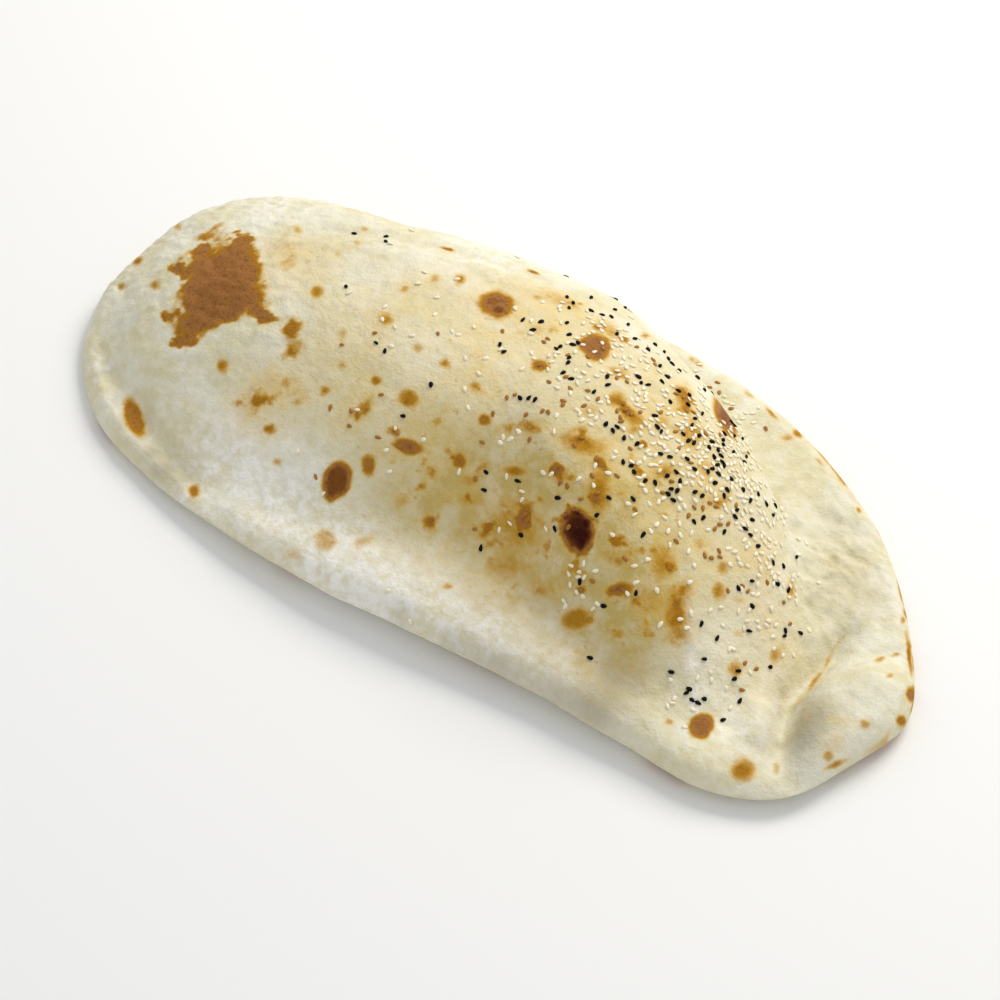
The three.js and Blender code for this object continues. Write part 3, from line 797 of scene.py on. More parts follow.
@dataclass
class SkinMarks:
    """How baked the skin is at each vertex, and how strong each tint is, some tints being painted shade and
    some painted highlight, from marks and tints seen from the photograph's camera.

    Broad and fine are the wavelengths, in millimetres, of the noise that frays a mark's outline.
    """

    form: BreadForm
    camera: PhotoCamera
    broad: float = 12.0
    fine: float = 4.5
    blots: Layer = Layer(1.0, 26, 91, 2)
    toast: Layer = Layer(1.0, 34, 95, 3)
    rim_patches: Layer = Layer(1.0, 13, 99, 2)
    rim_widths: Layer = Layer(1.0, 18, 103)

    def marks(self, vertices: np.ndarray) -> np.ndarray:
        """Strongest mark at each vertex.

        A mark is an oval in the photograph, with its outline made uneven by noise, and it falls
        from its darkness inside to nothing a little outside. It only reaches skin that lies round
        the point that its middle shows, and that isn't turned away from the camera.

        Args:
            vertices: the mesh's vertices in millimetres.

        Returns:
            Darkness from 0 to 1 for each vertex.
        """
        pixels = self.camera.project(vertices)
        broad = np.stack([relief(vertices, self.broad, seed) for seed in (51, 61)], axis=1)
        fine = np.stack([relief(vertices, self.fine, seed, 2) for seed in (51, 61)], axis=1)
        marks = SCORCH + DARK_MARKS
        middles = self.form.hit(self.camera, np.array([[m.across, m.down] for m in marks], dtype=float))
        bake_and_shade = np.zeros(len(vertices))
        for mark, middle in zip(marks, middles):
            size = max(mark.width, mark.height) * self.camera.mm_per_pixel
            distance = np.linalg.norm(vertices - middle, axis=1)
            near = distance < 1.6 * size + 6
            turn, soft = math.radians(mark.turn), mark.softness()
            broadly, finely = mark.wander()
            offset = (pixels + broadly * broad + finely * fine)[near] - (mark.across, mark.down)
            along = (offset[:, 0] * math.cos(turn) + offset[:, 1] * math.sin(turn)) / (mark.width / 2)
            aside = (offset[:, 1] * math.cos(turn) - offset[:, 0] * math.sin(turn)) / (mark.height / 2)
            inside = ease(1 + soft, max(0.0, 1 - 1.4 * soft), np.hypot(along, aside))
            inside *= ease(1.6 * size + 6, 1.2 * size + 3, distance[near])
            bake_and_shade[near] = np.maximum(bake_and_shade[near], mark.dark * inside)
        return bake_and_shade * ease(-0.25, -0.02, self.facing(vertices))

    def tints(self, vertices: np.ndarray, patches: tuple[Tint, ...]) -> np.ndarray:
        """Sum of soft round patches: each a bell of the distance from the point that its middle shows.

        Args:
            vertices: the mesh's vertices in millimetres.
            patches: the patches of one colour.

        Returns:
            Strength from 0 to 1 for each vertex.
        """
        middles = self.form.hit(self.camera, np.array([[t.across, t.down] for t in patches], dtype=float))
        total = np.zeros(len(vertices))
        for patch, middle in zip(patches, middles):
            radius = patch.radius * self.camera.mm_per_pixel
            distance = np.linalg.norm(vertices - middle, axis=1)
            total += patch.strength * np.exp(-(distance / radius) ** 2)
        return np.clip(total, 0, 1)

    def hidden(self, vertices: np.ndarray, top: int) -> np.ndarray:
        """Marks where the photograph doesn't reach: spots on the far wall, and a toasted underside.

        Args:
            vertices: the mesh's vertices in millimetres, those of the upper skin first.
            top: how many of them the upper skin has.

        Returns:
            Darkness from 0 to 1 for each vertex.
        """
        away = ease(0.12, -0.1, self.facing(vertices)) * ease(-15, 20, vertices[:, 1])
        blots = ease(0.42, 0.62, self.blots.at(vertices)) * 0.6
        low = ease(6, 1, vertices[:, 2]) * (np.arange(len(vertices)) >= top)
        toasted = ease(0.2, 0.6, self.toast.at(vertices)) * 0.7
        return np.maximum(away * blots, low * toasted)

    def facing(self, vertices: np.ndarray) -> np.ndarray:
        """How far the skin faces the camera: 1 straight at it, below 0 turned away."""
        x, y = vertices[:, 0], vertices[:, 1]
        return self.form.normals(x, y) @ self.camera.back

    def rim(self, vertices: np.ndarray) -> np.ndarray:
        """Browned crust in a band inside the edge, up to 5 mm wide on the right and faint all round.

        Args:
            vertices: the mesh's vertices in millimetres.

        Returns:
            Darkness from 0 to 1 for each vertex.
        """
        dx, dy = vertices[:, 0] - self.form.centre[0], vertices[:, 1] - self.form.centre[1]
        angle = np.arctan2(dy, dx)
        inward = self.form.reach(angle) - np.hypot(dx, dy)
        right = ease(-0.35, -0.1, angle) * ease(1.6, 1.0, angle)
        uneven = ease(-0.25, 0.4, self.rim_patches.at(vertices))
        width = 1.2 + 3.6 * right * ease(-0.4, 0.5, self.rim_widths.at(vertices))
        return ease(width, 0.1, inward) * uneven * (0.16 + 0.24 * right)


# ---------------------------------------------------------------- finishes


@dataclass(frozen=True)
class CrustFinish:
    """Baked wheat crust: dry, matt and floury where pale, a little glossy where the oven browned it.

    It reads six attributes of the piece: how baked it is, with a few lines of painted shade among the
    marks; its warm tan; its greenish gold tan, partly painted shade; its whitening, partly dust and partly
    painted highlight; its painted shade; and its browned rim. A noise's scale is the cycles in a metre,
    from a real size in millimetres.
    """

    pale: str = "#e4e0c8"
    whitish: str = "#f7f4ea"
    dull: str = "#dbd2ab"
    warm: str = "#e6c777"
    olive_and_shade: str = "#c9b06a"
    golden: str = "#c5952c"
    tan: str = "#ab7618"
    brown: str = "#a26e3a"
    dark: str = "#6f3c08"
    burnt: str = "#380c06"
    painted_shade: str = "#a49e8b"
    freckle: str = "#c29550"
    pore: str = "#5a2f0c"

    def material(self) -> bpy.types.Material:
        """Build the crust's material.

        Returns:
            Pale skin with tanned patches over it and the oven's marks over those, on a dimpled bump.
        """
        material = new_material("baked_wheat_crust", {
            "IOR": 1.45, "Specular IOR Level": 0.08, "Subsurface Weight": 0.08,
            "Subsurface Radius": (1.0, 0.6, 0.3), "Subsurface Scale": 2.5 * MM,
        })
        tree = material.node_tree
        shader = tree.nodes["Principled BSDF"]
        place = add_node(tree, "TexCoord").outputs["Object"]

        # The crumb's dimples are 5 mm across, and a fine orange peel of 1.3 mm lies over them.
        crumb = add_node(tree, "TexNoise", {0: place, "Scale": 1 / (5 * MM), "Detail": 5, "Roughness": 0.6})
        peel = add_node(tree, "TexNoise",
                        {0: place, "Scale": 1 / (1.3 * MM), "Detail": 3, "Roughness": 0.55})
        relief_height = add_node(tree, "Math", {0: peel, 1: 0.3, 2: crumb}, operation="MULTIPLY_ADD")
        bump = add_node(tree, "Bump", {"Height": relief_height, "Strength": 0.75, "Distance": 1.5 * MM})
        tree.links.new(bump.outputs["Normal"], shader.inputs["Normal"])

        # The oven's warmth reached the warm and the greenish gold patches, and blisters and freckles came
        # most there; the greenish gold patches that are painted shade count here too.
        warm = add_node(tree, "Attribute", attribute_name="warm").outputs["Fac"]
        olive_and_shade = add_node(tree, "Attribute", attribute_name="olive_and_shade").outputs["Fac"]
        tint_strength = add_node(tree, "Math", {0: warm, 1: olive_and_shade}, operation="ADD")
        fertile = add_node(tree, "Math", {0: tint_strength, 1: 0.5, 2: 0.08}, operation="MULTIPLY_ADD")
        baked = self.baked(tree, place, tint_strength, fertile)
        colour = self.tanned(tree, place, self.pale_skin(tree, place, crumb), warm, olive_and_shade)
        colour = self.browned(tree, place, self.freckled(tree, place, colour, fertile), baked)
        tree.links.new(colour.outputs[2], shader.inputs["Base Color"])

        # Roughness drops a little where sugars browned.
        rough = add_node(tree, "MapRange", {0: baked, 1: 0.3, 2: 0.7, 3: 0.82, 4: 0.55},
                         interpolation_type="SMOOTHSTEP")
        tree.links.new(rough.outputs["Result"], shader.inputs["Roughness"])
        return material

    def pale_skin(self, tree: bpy.types.NodeTree, place: bpy.types.NodeSocket,
                crumb: bpy.types.Node) -> bpy.types.Node:
        """The pale skin: cloudy at a fingertip's size, whitened on the crumb's tops by dust and painted
        highlight, and greyed by painted shade in the creases and along the rolled edges.

        Args:
            tree: the material's nodes.
            place: Object coordinates.
            crumb: noise of the crumb's dimples.

        Returns:
            The colour's node.
        """
        cloud = add_node(tree, "TexNoise",
                         {0: place, "Scale": 1 / (22 * MM), "Detail": 4, "Roughness": 0.55})
        share = add_node(tree, "MapRange", {0: cloud, 1: 0.4, 2: 0.64}, interpolation_type="SMOOTHSTEP")
        colour = add_node(tree, "Mix", {0: share, 6: to_linear(self.dull), 7: to_linear(self.pale)},
                          data_type="RGBA")
        # Whitening, partly dust and partly painted highlight: more on the crumb's tops, and most in the
        # whitened patches.
        flour_and_highlight = add_node(tree, "Attribute", attribute_name="flour_and_highlight").outputs["Fac"]
        tops = add_node(tree, "MapRange", {0: crumb, 1: 0.34, 2: 0.7}, interpolation_type="SMOOTHSTEP")
        thick = add_node(tree, "Math", {0: flour_and_highlight, 1: 0.65, 2: 0.3}, operation="MULTIPLY_ADD")
        whitened = add_node(tree, "Math", {0: tops, 1: thick}, operation="MULTIPLY")
        whitened = add_node(tree, "Math", {0: flour_and_highlight, 1: 0.3, 2: whitened}, operation="MULTIPLY_ADD")
        colour = add_node(tree, "Mix", {0: whitened, 6: colour, 7: to_linear(self.whitish)}, data_type="RGBA")
        # Painted shade: grey mixed in where the shaded patches lie.
        painted_shade = add_node(tree, "Attribute", attribute_name="painted_shade").outputs["Fac"]
        return add_node(tree, "Mix", {0: painted_shade, 6: colour, 7: to_linear(self.painted_shade)}, data_type="RGBA")

    def tanned(self, tree: bpy.types.NodeTree, place: bpy.types.NodeSocket, colour: bpy.types.Node,
               warm: bpy.types.NodeSocket, olive_and_shade: bpy.types.NodeSocket) -> bpy.types.Node:
        """Tan in soft patches, which the dough's grain of a centimetre breaks up.

        Args:
            tree: the material's nodes.
            place: Object coordinates.
            colour: what lies under the tan.
            warm: how strong the warm patches are.
            olive_and_shade: how strong the olive ones are.

        Returns:
            The colour's node.
        """
        grain = add_node(tree, "TexNoise",
                         {0: place, "Scale": 1 / (11 * MM), "Detail": 6, "Roughness": 0.62})
        patchy = add_node(tree, "MapRange", {0: grain, 1: 0.36, 2: 0.66, 3: 0.45, 4: 1.2},
                          interpolation_type="SMOOTHSTEP")
        # The greenish gold patches are partly painted shade.
        for strength, tan in ((warm, self.warm), (olive_and_shade, self.olive_and_shade)):
            share = add_node(tree, "Math", {0: strength, 1: patchy}, operation="MULTIPLY")
            colour = add_node(tree, "Mix", {0: share, 6: colour, 7: to_linear(tan)}, data_type="RGBA")
        return colour

    def freckled(self, tree: bpy.types.NodeTree, place: bpy.types.NodeSocket, colour: bpy.types.Node,
                 fertile: bpy.types.Node) -> bpy.types.Node:
        """Freckle the skin with blisters of a millimetre or two that browned first.

        Args:
            tree: the material's nodes.
            place: Object coordinates.
            colour: what lies under the freckles.
            fertile: how many there are.

        Returns:
            The colour's node.
        """
        spots = add_node(tree, "TexNoise",
                         {0: place, "Scale": 1 / (3.2 * MM), "Detail": 3, "Roughness": 0.55})
        spots = add_node(tree, "MapRange", {0: spots, 1: 0.6, 2: 0.72}, interpolation_type="SMOOTHSTEP")
        share = add_node(tree, "Math", {0: spots, 1: fertile}, operation="MULTIPLY")
        return add_node(tree, "Mix", {0: share, 6: colour, 7: to_linear(self.freckle)}, data_type="RGBA")

    def blistered(self, tree: bpy.types.NodeTree, place: bpy.types.NodeSocket,
                  fertile: bpy.types.Node) -> bpy.types.Node:
        """Small blisters, two to four millimetres across and a centimetre apart, that took more heat.

        Each is a soft disc round a point of a bent cell pattern, with its width and strength by lot.

        Args:
            tree: the material's nodes.
            place: Object coordinates.
            fertile: how many blisters there are.

        Returns:
            The node of how baked they are.
        """
        bent = add_node(tree, "TexNoise", {0: place, "Scale": 1 / (4 * MM), "Detail": 2}).outputs["Color"]
        moved = add_node(tree, "VectorMath",
                         {0: bent, 1: (3.5 * MM,) * 3, 2: place}, operation="MULTIPLY_ADD")
        cells = add_node(tree, "TexVoronoi", {"Vector": moved, "Scale": 1 / (11 * MM)})
        lot = add_node(tree, "SeparateColor", {0: cells.outputs["Color"]})
        wide = add_node(tree, "MapRange", {0: lot.outputs["Red"], 1: 0.3, 2: 1.0, 3: 0.02, 4: 0.21},
                        interpolation_type="SMOOTHSTEP")
        near = add_node(tree, "Math", {0: cells.outputs["Distance"], 1: wide}, operation="DIVIDE")
        near = add_node(tree, "MapRange", {0: near, 1: 1.3, 2: 0.4}, interpolation_type="SMOOTHSTEP")
        strong = add_node(tree, "Math", {0: lot.outputs["Green"], 1: 0.8}, operation="MULTIPLY")
        strong = add_node(tree, "Math", {0: near, 1: strong}, operation="MULTIPLY")
        room = add_node(tree, "Math", {0: fertile, 1: 0.1}, operation="ADD")
        room = add_node(tree, "Math", {0: room, 1: 0.8}, operation="MINIMUM")
        return add_node(tree, "Math", {0: strong, 1: room}, operation="MULTIPLY")

    def baked(self, tree: bpy.types.NodeTree, place: bpy.types.NodeSocket, tint_strength: bpy.types.Node,
              fertile: bpy.types.Node) -> bpy.types.Node:
        """How baked the skin is: its marks, a few of them painted shade in a crease, frayed by grain at
        their edges, scalded blotches and blisters.

        Args:
            tree: the material's nodes.
            place: Object coordinates.
            tint_strength: how strong the warm and greenish gold patches are, some of them painted shade,
                where the skin scalds in blotches of a centimetre.
            fertile: how many blisters there are.

        Returns:
            The node of how baked it is, from 0 for pale to 1 for burnt.
        """
        marks = add_node(tree, "Attribute", attribute_name="bake_and_shade").outputs["Fac"]
        rim = add_node(tree, "Attribute", attribute_name="rim").outputs["Fac"]
        fray = add_node(tree, "TexNoise",
                        {0: place, "Scale": 1 / (2.8 * MM), "Detail": 4, "Roughness": 0.6})
        fray = add_node(tree, "Math", {0: fray, 1: 0.5}, operation="SUBTRACT")
        fray = add_node(tree, "Math", {0: fray, 1: 0.22}, operation="MULTIPLY")
        begin = add_node(tree, "MapRange", {0: marks, 1: 0.0, 2: 0.15}, interpolation_type="SMOOTHSTEP")
        end = add_node(tree, "MapRange", {0: marks, 1: 0.66, 2: 0.3, 3: 0.15, 4: 1.0},
                       interpolation_type="SMOOTHSTEP")
        edges = add_node(tree, "Math", {0: begin, 1: end}, operation="MULTIPLY")
        marked = add_node(tree, "Math", {0: marks, 1: rim}, operation="MAXIMUM")
        marked = add_node(tree, "Math", {0: edges, 1: fray, 2: marked}, operation="MULTIPLY_ADD")
        blotches = add_node(tree, "TexNoise",
                            {0: place, "Scale": 1 / (10 * MM), "Detail": 3, "Roughness": 0.5})
        blotches = add_node(tree, "MapRange", {0: blotches, 1: 0.5, 2: 0.72, 4: 0.34},
                            interpolation_type="SMOOTHSTEP")
        scalded = add_node(tree, "Math", {0: tint_strength, 1: blotches}, operation="MULTIPLY")
        blisters = self.blistered(tree, place, fertile)
        spots = add_node(tree, "Math", {0: blisters, 1: 0.6, 2: scalded}, operation="MULTIPLY_ADD")
        return add_node(tree, "Math", {0: marked, 1: spots}, operation="ADD")

    def browned(self, tree: bpy.types.NodeTree, place: bpy.types.NodeSocket, colour: bpy.types.Node,
                baked: bpy.types.Node) -> bpy.types.Node:
        """Brown the skin from golden at a mark's soft edge to burnt, with dark pores 1.6 mm apart.

        Args:
            tree: the material's nodes.
            place: Object coordinates.
            colour: what lies under the brown.
            baked: how baked the skin is.

        Returns:
            The colour's node.
        """
        ramp = add_node(tree, "ValToRGB", {"Fac": baked})
        elements = ramp.color_ramp.elements
        elements.remove(elements[1])
        elements[0].position, elements[0].color = 0.1, to_linear(self.warm)
        for position, brown in ((0.3, self.golden), (0.45, self.tan), (0.62, self.brown), (0.8, self.dark),
                                (0.98, self.burnt)):
            elements.new(position).color = to_linear(brown)
        share = add_node(tree, "MapRange", {0: baked, 1: 0.02, 2: 0.44}, interpolation_type="SMOOTHSTEP")
        colour = add_node(tree, "Mix", {0: share, 6: colour, 7: ramp}, data_type="RGBA")
        pores = add_node(tree, "TexNoise",
                         {0: place, "Scale": 1 / (1.6 * MM), "Detail": 2, "Roughness": 0.55})
        pores = add_node(tree, "MapRange", {0: pores, 1: 0.5, 2: 0.7}, interpolation_type="SMOOTHSTEP")
        depth = add_node(tree, "MapRange",
                         {0: baked, 1: 0.3, 2: 0.6, 4: 0.4}, interpolation_type="SMOOTHSTEP")
        share = add_node(tree, "Math", {0: pores, 1: depth}, operation="MULTIPLY")
        return add_node(tree, "Mix", {0: share, 6: colour, 7: to_linear(self.pore)}, data_type="RGBA")


@dataclass(frozen=True)
class SeedFinish:
    """A seed's hull: the colour it has raw, the colour it can toast to, and how it shines."""

    name: str
    colour: str
    other: str
    roughness: float
    shine: float = 0.5

    def material(self) -> bpy.types.Material:
        """Build the hull's material.

        Returns:
            A hull whose colour differs by the seed's tone times a grain of 0.6 mm, which is its bump too.
        """
        material = new_material(self.name, {"Roughness": self.roughness, "Specular IOR Level": self.shine})
        tree = material.node_tree
        shader = tree.nodes["Principled BSDF"]
        place = add_node(tree, "TexCoord").outputs["Object"]
        tone = add_node(tree, "Attribute", attribute_name="tone").outputs["Fac"]
        grain = add_node(tree, "TexNoise", {0: place, "Scale": 1 / (0.6 * MM), "Detail": 2})
        share = add_node(tree, "Math", {0: tone, 1: grain, 2: -0.25}, operation="MULTIPLY_ADD")
        colour = add_node(tree, "Mix", {0: share, 6: to_linear(self.colour), 7: to_linear(self.other)},
                          data_type="RGBA")
        tree.links.new(colour.outputs[2], shader.inputs["Base Color"])
        bump = add_node(tree, "Bump", {"Height": grain, "Strength": 0.3, "Distance": 0.2 * MM})
        tree.links.new(bump.outputs["Normal"], shader.inputs["Normal"])
        return material


# ---------------------------------------------------------------- seeds


class SeedKind(Enum):
    """The three kinds of seed on the crust."""

    WHITE_SESAME = "white_sesame_seeds"
    TOASTED_SESAME = "toasted_sesame_seeds"
    NIGELLA = "nigella_seeds"


@dataclass(frozen=True)
class Shower:
    """Seeds that fell together: their middle and spread in pixels of the photograph, and how many fell."""

    across: float
    down: float
    spread: float
    count: int


@dataclass(frozen=True)
class Sprinkle:
    """A place over the crest where seeds fell: its middle in plan and its spread, in millimetres."""

    x: float
    y: float
    spread: float


# Showers of seeds, by across, down, spread and count, and pixels at which single seeds show.
WHITE_SHOWERS = tuple(Shower(*row) for row in (
    (700, 435, 32, 160), (725, 475, 24, 120), (735, 450, 18, 80), (755, 490, 14, 40), (640, 430, 34, 60),
    (590, 350, 30, 44), (610, 385, 30, 30), (570, 375, 20, 16), (650, 370, 26, 20), (755, 520, 22, 60),
    (770, 570, 18, 50), (690, 510, 34, 40), (560, 470, 40, 18), (585, 580, 16, 16), (640, 560, 40, 14),
    (745, 625, 32, 34), (790, 640, 14, 8), (690, 700, 24, 9), (420, 460, 60, 8), (400, 330, 40, 9),
    (470, 300, 40, 9), (505, 390, 40, 12), (540, 330, 30, 14), (340, 555, 60, 4),
))
NIGELLA_SEEN = (
    (354, 234), (386, 237), (386, 242), (346, 287), (376, 343), (385, 351), (431, 385), (403, 416),
    (500, 345), (504, 352), (523, 320), (541, 322), (533, 330), (567, 297), (573, 303), (569, 308),
    (591, 298), (591, 311), (567, 323), (569, 335), (615, 310), (602, 315), (611, 317), (628, 325),
    (625, 308), (617, 334), (635, 339), (573, 345), (578, 343), (556, 349), (560, 347), (569, 358),
    (568, 363), (563, 373), (571, 379), (520, 398), (529, 398), (535, 400), (607, 377), (608, 385),
    (594, 392), (638, 377), (606, 424), (617, 427), (613, 431), (624, 438), (648, 385), (678, 391),
    (689, 395), (704, 390), (670, 402), (688, 405), (655, 416), (702, 414), (695, 419), (692, 425),
    (657, 427), (661, 432), (637, 444), (683, 434), (688, 441), (694, 443), (699, 436), (724, 434),
    (734, 436), (723, 440), (723, 445), (712, 442), (709, 448), (718, 450), (660, 454), (670, 457),
    (687, 459), (714, 457), (721, 456), (722, 462), (717, 465), (724, 466), (733, 452), (746, 457),
    (744, 462), (756, 460), (742, 439), (731, 422), (734, 426), (623, 462), (631, 466), (634, 472),
    (694, 469), (708, 472), (712, 469), (718, 474), (676, 472), (667, 476), (645, 481), (655, 483),
    (680, 481), (668, 494), (671, 489), (677, 491), (673, 500), (695, 492), (702, 496), (715, 483),
    (731, 479), (727, 490), (724, 496), (743, 490), (737, 510), (735, 517), (752, 520), (703, 518),
    (694, 522), (609, 498), (633, 499), (643, 535), (724, 532), (745, 529), (750, 535), (750, 501),
    (758, 494), (766, 504), (775, 506), (773, 515), (758, 546), (783, 566), (773, 563), (796, 557),
    (777, 584), (788, 590), (752, 581), (738, 588), (752, 606), (717, 638), (749, 631), (785, 631),
    (784, 636), (800, 633), (770, 667), (704, 659), (738, 671), (734, 679), (740, 701), (723, 720),
    (704, 699), (818, 676), (701, 624), (486, 472), (484, 490), (518, 481), (521, 535), (481, 548),
    (555, 529), (558, 498), (597, 515), (580, 582), (604, 606), (636, 593), (590, 658), (671, 672),
    (689, 689), (692, 700), (698, 703), (686, 693), (668, 359), (664, 352), (672, 364), (660, 366),
    (648, 350), (655, 345), (662, 382), (667, 377), (679, 371), (697, 378), (641, 383),
)
TOASTED_SHOWERS = tuple(Shower(*row) for row in (
    (690, 425, 36, 28), (620, 400, 36, 14), (575, 350, 28, 8), (720, 500, 30, 14), (560, 480, 40, 8),
    (760, 580, 24, 6), (360, 410, 30, 4), (500, 420, 60, 6),
))
TOASTED_SEEN = (
    (375, 333), (342, 345), (438, 334), (351, 411), (507, 398), (493, 414), (526, 415), (548, 339),
    (540, 365), (549, 382), (568, 355), (566, 377), (598, 399), (617, 411), (626, 410), (581, 590),
    (625, 559), (592, 581), (581, 499), (526, 514), (560, 483), (475, 479), (475, 529), (316, 477),
    (719, 551), (711, 558), (742, 690), (745, 663), (756, 669), (728, 524), (710, 503),
)
OVER_THE_CREST = (Sprinkle(25, 66, 22), Sprinkle(70, 52, 20), Sprinkle(106, 28, 17))


@dataclass
class SeedScatter:
    """Seeds of one kind, laid on the crust at their true size and joined into one mesh.

    The size is along, across and through a seed. Hidden is how many lie over the crest, lone holds
    the pixels at which single seeds show, and a gap is kept to every seed laid before. Lengths are
    in millimetres; pitch, roll and vary are spreads of the tilt in radians and of the size, and
    tones are the two powers of the beta draws of a seed's colour.
    """

    form: BreadForm
    kind: SeedKind
    finish: SeedFinish
    size: tuple[float, float, float]
    showers: tuple[Shower, ...]
    hidden: int
    seed: int
    lone: tuple[tuple[float, float], ...] = ()
    gap: float = 1.9
    sunk: float = 0.25
    sides: int = 8
    rings: int = 5
    lowest: float = 8.0
    lowest_over: float = 20.0
    highest: float = 90.0
    turned_away: float = 0.05
    pitch: float = 0.15
    roll: float = 0.16
    vary: float = 0.08
    tones: tuple[float, float] = (1.6, 2.4)

    def fallen(self, camera: PhotoCamera, draw: np.random.Generator) -> np.ndarray:
        """Places of the seeds that show: normal draws round each shower's pixel, carried to the skin.

        Args:
            camera: the camera that the seeds' pixels belong to.
            draw: the seeded random source.

        Returns:
            One row of x, y and height for each seed, those seen singly first.
        """
        lone = np.array(self.lone, dtype=float).reshape(-1, 2)
        pixels = [draw.normal((s.across, s.down), s.spread, (s.count, 2)) for s in self.showers]
        points = self.form.hit(camera, np.concatenate([lone] + pixels))
        return points[(points[:, 2] > self.lowest) & (points[:, 2] < self.highest)]

    def over(self, camera: PhotoCamera, draw: np.random.Generator) -> np.ndarray:
        """Places of the seeds over the crest: draws round each sprinkle, kept where the skin turns away.

        Args:
            camera: the camera that the skin turns away from.
            draw: the seeded random source.

        Returns:
            One row of x, y and height for each seed.
        """
        tries = (3 * self.hidden, 2)
        plan = np.concatenate([draw.normal((p.x, p.y), p.spread, tries) for p in OVER_THE_CREST])
        places = np.column_stack([plan, self.form.height(plan[:, 0], plan[:, 1])])
        away = self.form.normals(places[:, 0], places[:, 1]) @ camera.back < self.turned_away
        return draw.permutation(places[away & (places[:, 2] > self.lowest_over)])[:self.hidden]

    def spots(self, camera: PhotoCamera, draw: np.random.Generator, taken: list[np.ndarray]) -> np.ndarray:
        """Places on the skin for the seeds, each apart from all before it.

        Args:
            camera: the camera that the showers' pixels belong to.
            draw: the seeded random source.
            taken: places that hold a seed already; the new ones are added.

        Returns:
            One row of x, y and height for each seed.
        """
        kept: list[np.ndarray] = []
        for place in np.concatenate([self.fallen(camera, draw), self.over(camera, draw)]):
            if taken and np.min(np.linalg.norm(np.array(taken) - place, axis=1)) < self.gap:
                continue
            kept.append(place)
            taken.append(place)
        return np.array(kept)

    def shape(self) -> tuple[np.ndarray, list[np.ndarray]]:
        """One seed of unit size along x: a drop, blunt at one end, with a radius like t^0.5 (1 - t)^0.75.

        Returns:
            The vertices and the faces.
        """
        t = np.arange(1, self.rings + 1) / (self.rings + 1)
        radius = np.sqrt(t) * (1 - t) ** 0.75
        radius *= 0.5 / radius.max()
        angle = np.arange(self.sides) / self.sides * 2 * np.pi
        ring = np.stack([np.cos(angle), np.sin(angle)], axis=-1) * radius[:, None, None]
        places = np.broadcast_to((t - 0.5)[:, None, None], ring.shape[:2] + (1,))
        body = np.concatenate([places, ring], axis=-1)
        points = np.concatenate([body.reshape(-1, 3), [[-0.5, 0, 0], [0.5, 0, 0]]])
        loops = np.arange(self.rings * self.sides).reshape(self.rings, self.sides)
        after = np.roll(loops, -1, axis=1)
        quads = np.stack([loops[:-1], loops[1:], after[1:], after[:-1]], axis=-1).reshape(-1, 4)
        blunt, point = len(points) - 2, len(points) - 1
        caps = [np.stack([np.full(self.sides, blunt), loops[0], after[0]], axis=-1),
                np.stack([np.full(self.sides, point), after[-1], loops[-1]], axis=-1)]
        return points, [quads] + caps

    def build(self, camera: PhotoCamera, taken: list[np.ndarray]) -> bpy.types.Object:
        """Lay every seed flat on the skin, turned at random, and join them.

        Args:
            camera: the camera that the seeds' pixels belong to.
            taken: places that hold a seed already; the new ones are added.

        Returns:
            The joined seeds.
        """
        draw = np.random.default_rng(self.seed)
        places = self.spots(camera, draw, taken)
        n = len(places)
        normal = self.form.normals(places[:, 0], places[:, 1])
        turn = draw.uniform(0, 2 * np.pi, n)
        heading = np.stack([np.cos(turn), np.sin(turn), draw.normal(0, self.pitch, n)], axis=-1)
        across = np.cross(normal, heading)
        across /= np.linalg.norm(across, axis=1)[:, None]
        along = np.cross(across, normal)
        tilt = draw.normal(0, self.roll, (n, 1))
        upright = normal * np.cos(tilt) + across * np.sin(tilt)
        across = across * np.cos(tilt) - normal * np.sin(tilt)
        scale = np.array(self.size) * draw.normal(1, self.vary, (n, 3))
        axes = np.stack([along, across, upright], axis=1) * scale[:, :, None]
        middle = places + normal * (scale[:, 2:3] * (0.5 - self.sunk))
        points, faces = self.shape()
        vertices = np.einsum("vi,nij->nvj", points, axes) + middle[:, None, :]
        offsets = np.arange(n)[:, None, None] * len(points)
        joined = [(rows[None] + offsets).reshape(-1, rows.shape[1]) for rows in faces]
        values = {"tone": np.repeat(draw.beta(*self.tones, n), len(points))}
        return new_piece(self.kind.value, vertices.reshape(-1, 3), joined, self.finish.material(), values)


# ---------------------------------------------------------------- the studio


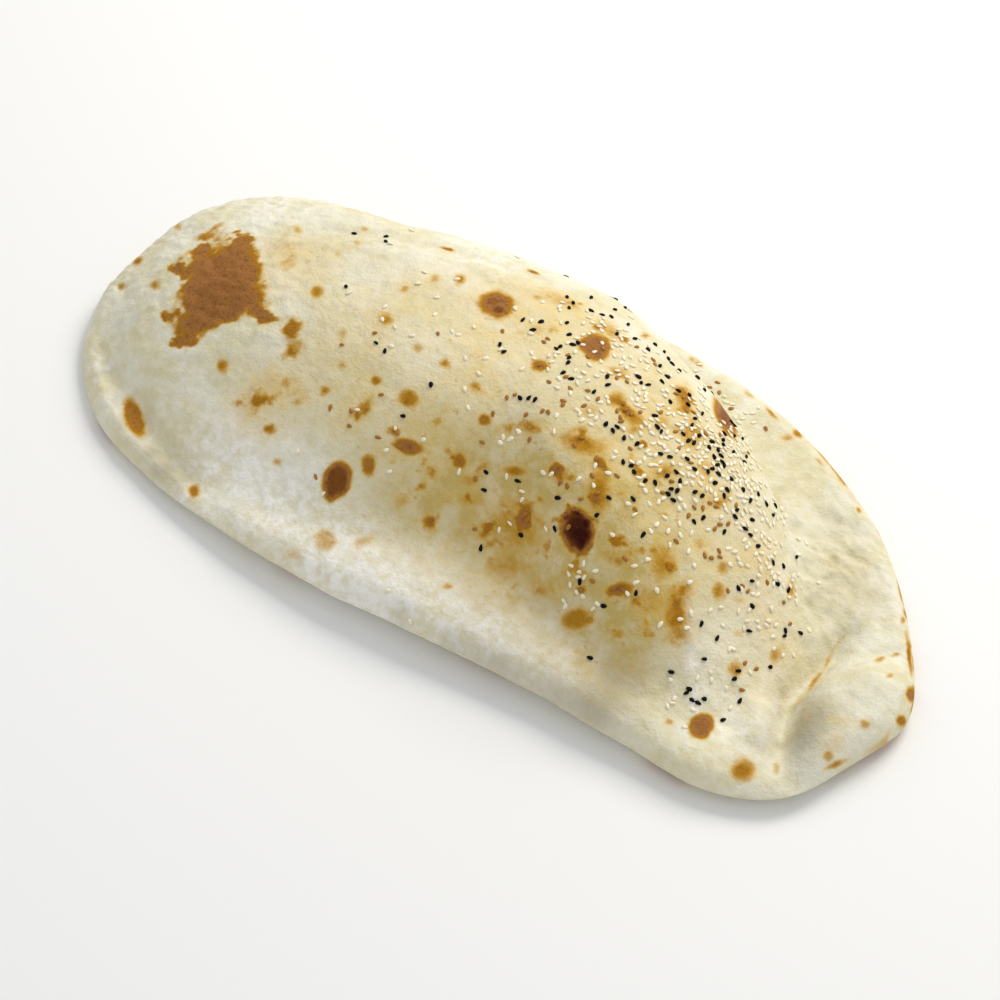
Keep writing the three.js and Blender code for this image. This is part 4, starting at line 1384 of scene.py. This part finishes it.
@dataclass
class Studio:
    """A plain pale floor, a large soft key light from behind the bread and a gentle fill.

    Lengths are in metres and the key light's power is in watts.
    """

    floor_colour: str = "#f4f4f2"
    floor_size: float = 6.0
    floor_drop: float = 0.2 * MM
    sky_colour: str = "#f3f5fa"
    fill: float = 0.7
    key_colour: str = "#fffaf0"
    key_power: float = 15.2
    key_size: float = 0.8
    key_distance: float = 1.5
    key_direction: tuple[float, float, float] = (0.1, 0.74, 0.8)

    def make(self) -> None:
        """Add the floor, the sky and the key light."""
        half, low = self.floor_size / 2 / MM, -self.floor_drop / MM
        corners = np.array([(x * half, y * half, low) for x, y in ((-1, -1), (1, -1), (1, 1), (-1, 1))])
        floor = new_piece("floor", corners, [np.array([[0, 1, 2, 3]])], self.paper())
        world = bpy.data.worlds.new("soft_white_room")
        world.use_nodes = True
        sky = world.node_tree.nodes["Background"]
        sky.inputs["Color"].default_value = to_linear(self.sky_colour)
        sky.inputs["Strength"].default_value = self.fill
        bpy.context.scene.world = world
        self.softbox()

    def paper(self) -> bpy.types.Material:
        """Matt white paper, so that the floor is plain and pale."""
        return new_material("white_paper", {"Base Color": to_linear(self.floor_colour), "Roughness": 0.9})

    def softbox(self) -> None:
        """The key light: a square area light that faces the bread."""
        direction = np.array(self.key_direction)
        direction /= np.linalg.norm(direction)
        data = bpy.data.lights.new("key_softbox", "AREA")
        data.size, data.energy, data.color = self.key_size, self.key_power, to_linear(self.key_colour)[:3]
        light = bpy.data.objects.new("key_softbox", data)
        light.location = (direction * self.key_distance).tolist()
        light.rotation_mode = "QUATERNION"
        light.rotation_quaternion = mathutils.Vector(direction.tolist()).to_track_quat("Z", "Y")
        bpy.context.scene.collection.objects.link(light)


# ---------------------------------------------------------------- putting it together


def bread_piece(form: BreadForm, camera: PhotoCamera) -> bpy.types.Object:
    """The bread's skin, with how baked, tanned and whitened it is at each vertex, and its painted shade and
    painted highlight.

    Args:
        form: the bread's form.
        camera: the camera that the marks' pixels belong to.

    Returns:
        The bread.
    """
    vertices, faces, top = form.mesh()
    skin_marks = SkinMarks(form, camera)
    values = {
        "bake_and_shade": np.maximum(skin_marks.marks(vertices), skin_marks.hidden(vertices, top)),
        "warm": skin_marks.tints(vertices, WARM_TINTS),
        # The greenish gold patches are partly painted shade, the whitened ones partly painted highlight,
        # and the grey ones painted shade only.
        "olive_and_shade": skin_marks.tints(vertices, OLIVE_AND_SHADE_TINTS),
        "flour_and_highlight": skin_marks.tints(vertices, FLOUR_AND_HIGHLIGHT_TINTS + RIDGE_HIGHLIGHT),
        "painted_shade": skin_marks.tints(vertices, PAINTED_SHADE_TINTS),
        "rim": skin_marks.rim(vertices),
    }
    LOG.info("bread: %d vertices, %d on top", len(vertices), top)
    return new_piece("lavash_crust", vertices, faces, CrustFinish().material(), values)


def seed_pieces(form: BreadForm, camera: PhotoCamera) -> list[bpy.types.Object]:
    """The seeds, one piece for each kind.

    Args:
        form: the bread's form.
        camera: the camera that the seeds' pixels belong to.

    Returns:
        The black seeds, which lie first so that no other keeps them off their places, then the
        toasted and the white ones.
    """
    # Nigella is coal black and nearly matt. Raw sesame has a creamy satin hull, which toasting darkens.
    scatters = (
        SeedScatter(form, SeedKind.NIGELLA, SeedFinish("nigella_hull", "#030304", "#0b0a0c", 0.65, 0.15),
                    (3.1, 1.75, 1.3), (), hidden=16, seed=8, lone=NIGELLA_SEEN, gap=1.5),
        SeedScatter(form, SeedKind.TOASTED_SESAME,
                    SeedFinish("toasted_sesame_hull", "#a8722a", "#4a1d08", 0.5, 0.2),
                    (3.0, 1.75, 0.95), TOASTED_SHOWERS, hidden=8, seed=9, lone=TOASTED_SEEN),
        SeedScatter(form, SeedKind.WHITE_SESAME, SeedFinish("sesame_hull", "#f4ebd0", "#d8bd84", 0.45),
                    (3.1, 1.75, 0.95), WHITE_SHOWERS, hidden=45, seed=7),
    )
    taken: list[np.ndarray] = []
    return [scatter.build(camera, taken) for scatter in scatters]


def main() -> None:
    """Build the camera, the bread, its seeds and the studio, and report each piece."""
    logging.basicConfig(level=logging.INFO, format="%(message)s")
    bpy.context.scene.view_settings.view_transform = "Standard"
    camera, form = PhotoCamera(), BreadForm()
    camera.make()
    pieces = [bread_piece(form, camera)] + seed_pieces(form, camera)
    for piece in pieces:
        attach(piece, BODY)
        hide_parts(NODE)
        LOG.info("%s: %d faces", piece.name, len(piece.data.polygons))
    Studio().make()


if __name__ == "__main__":
    main()
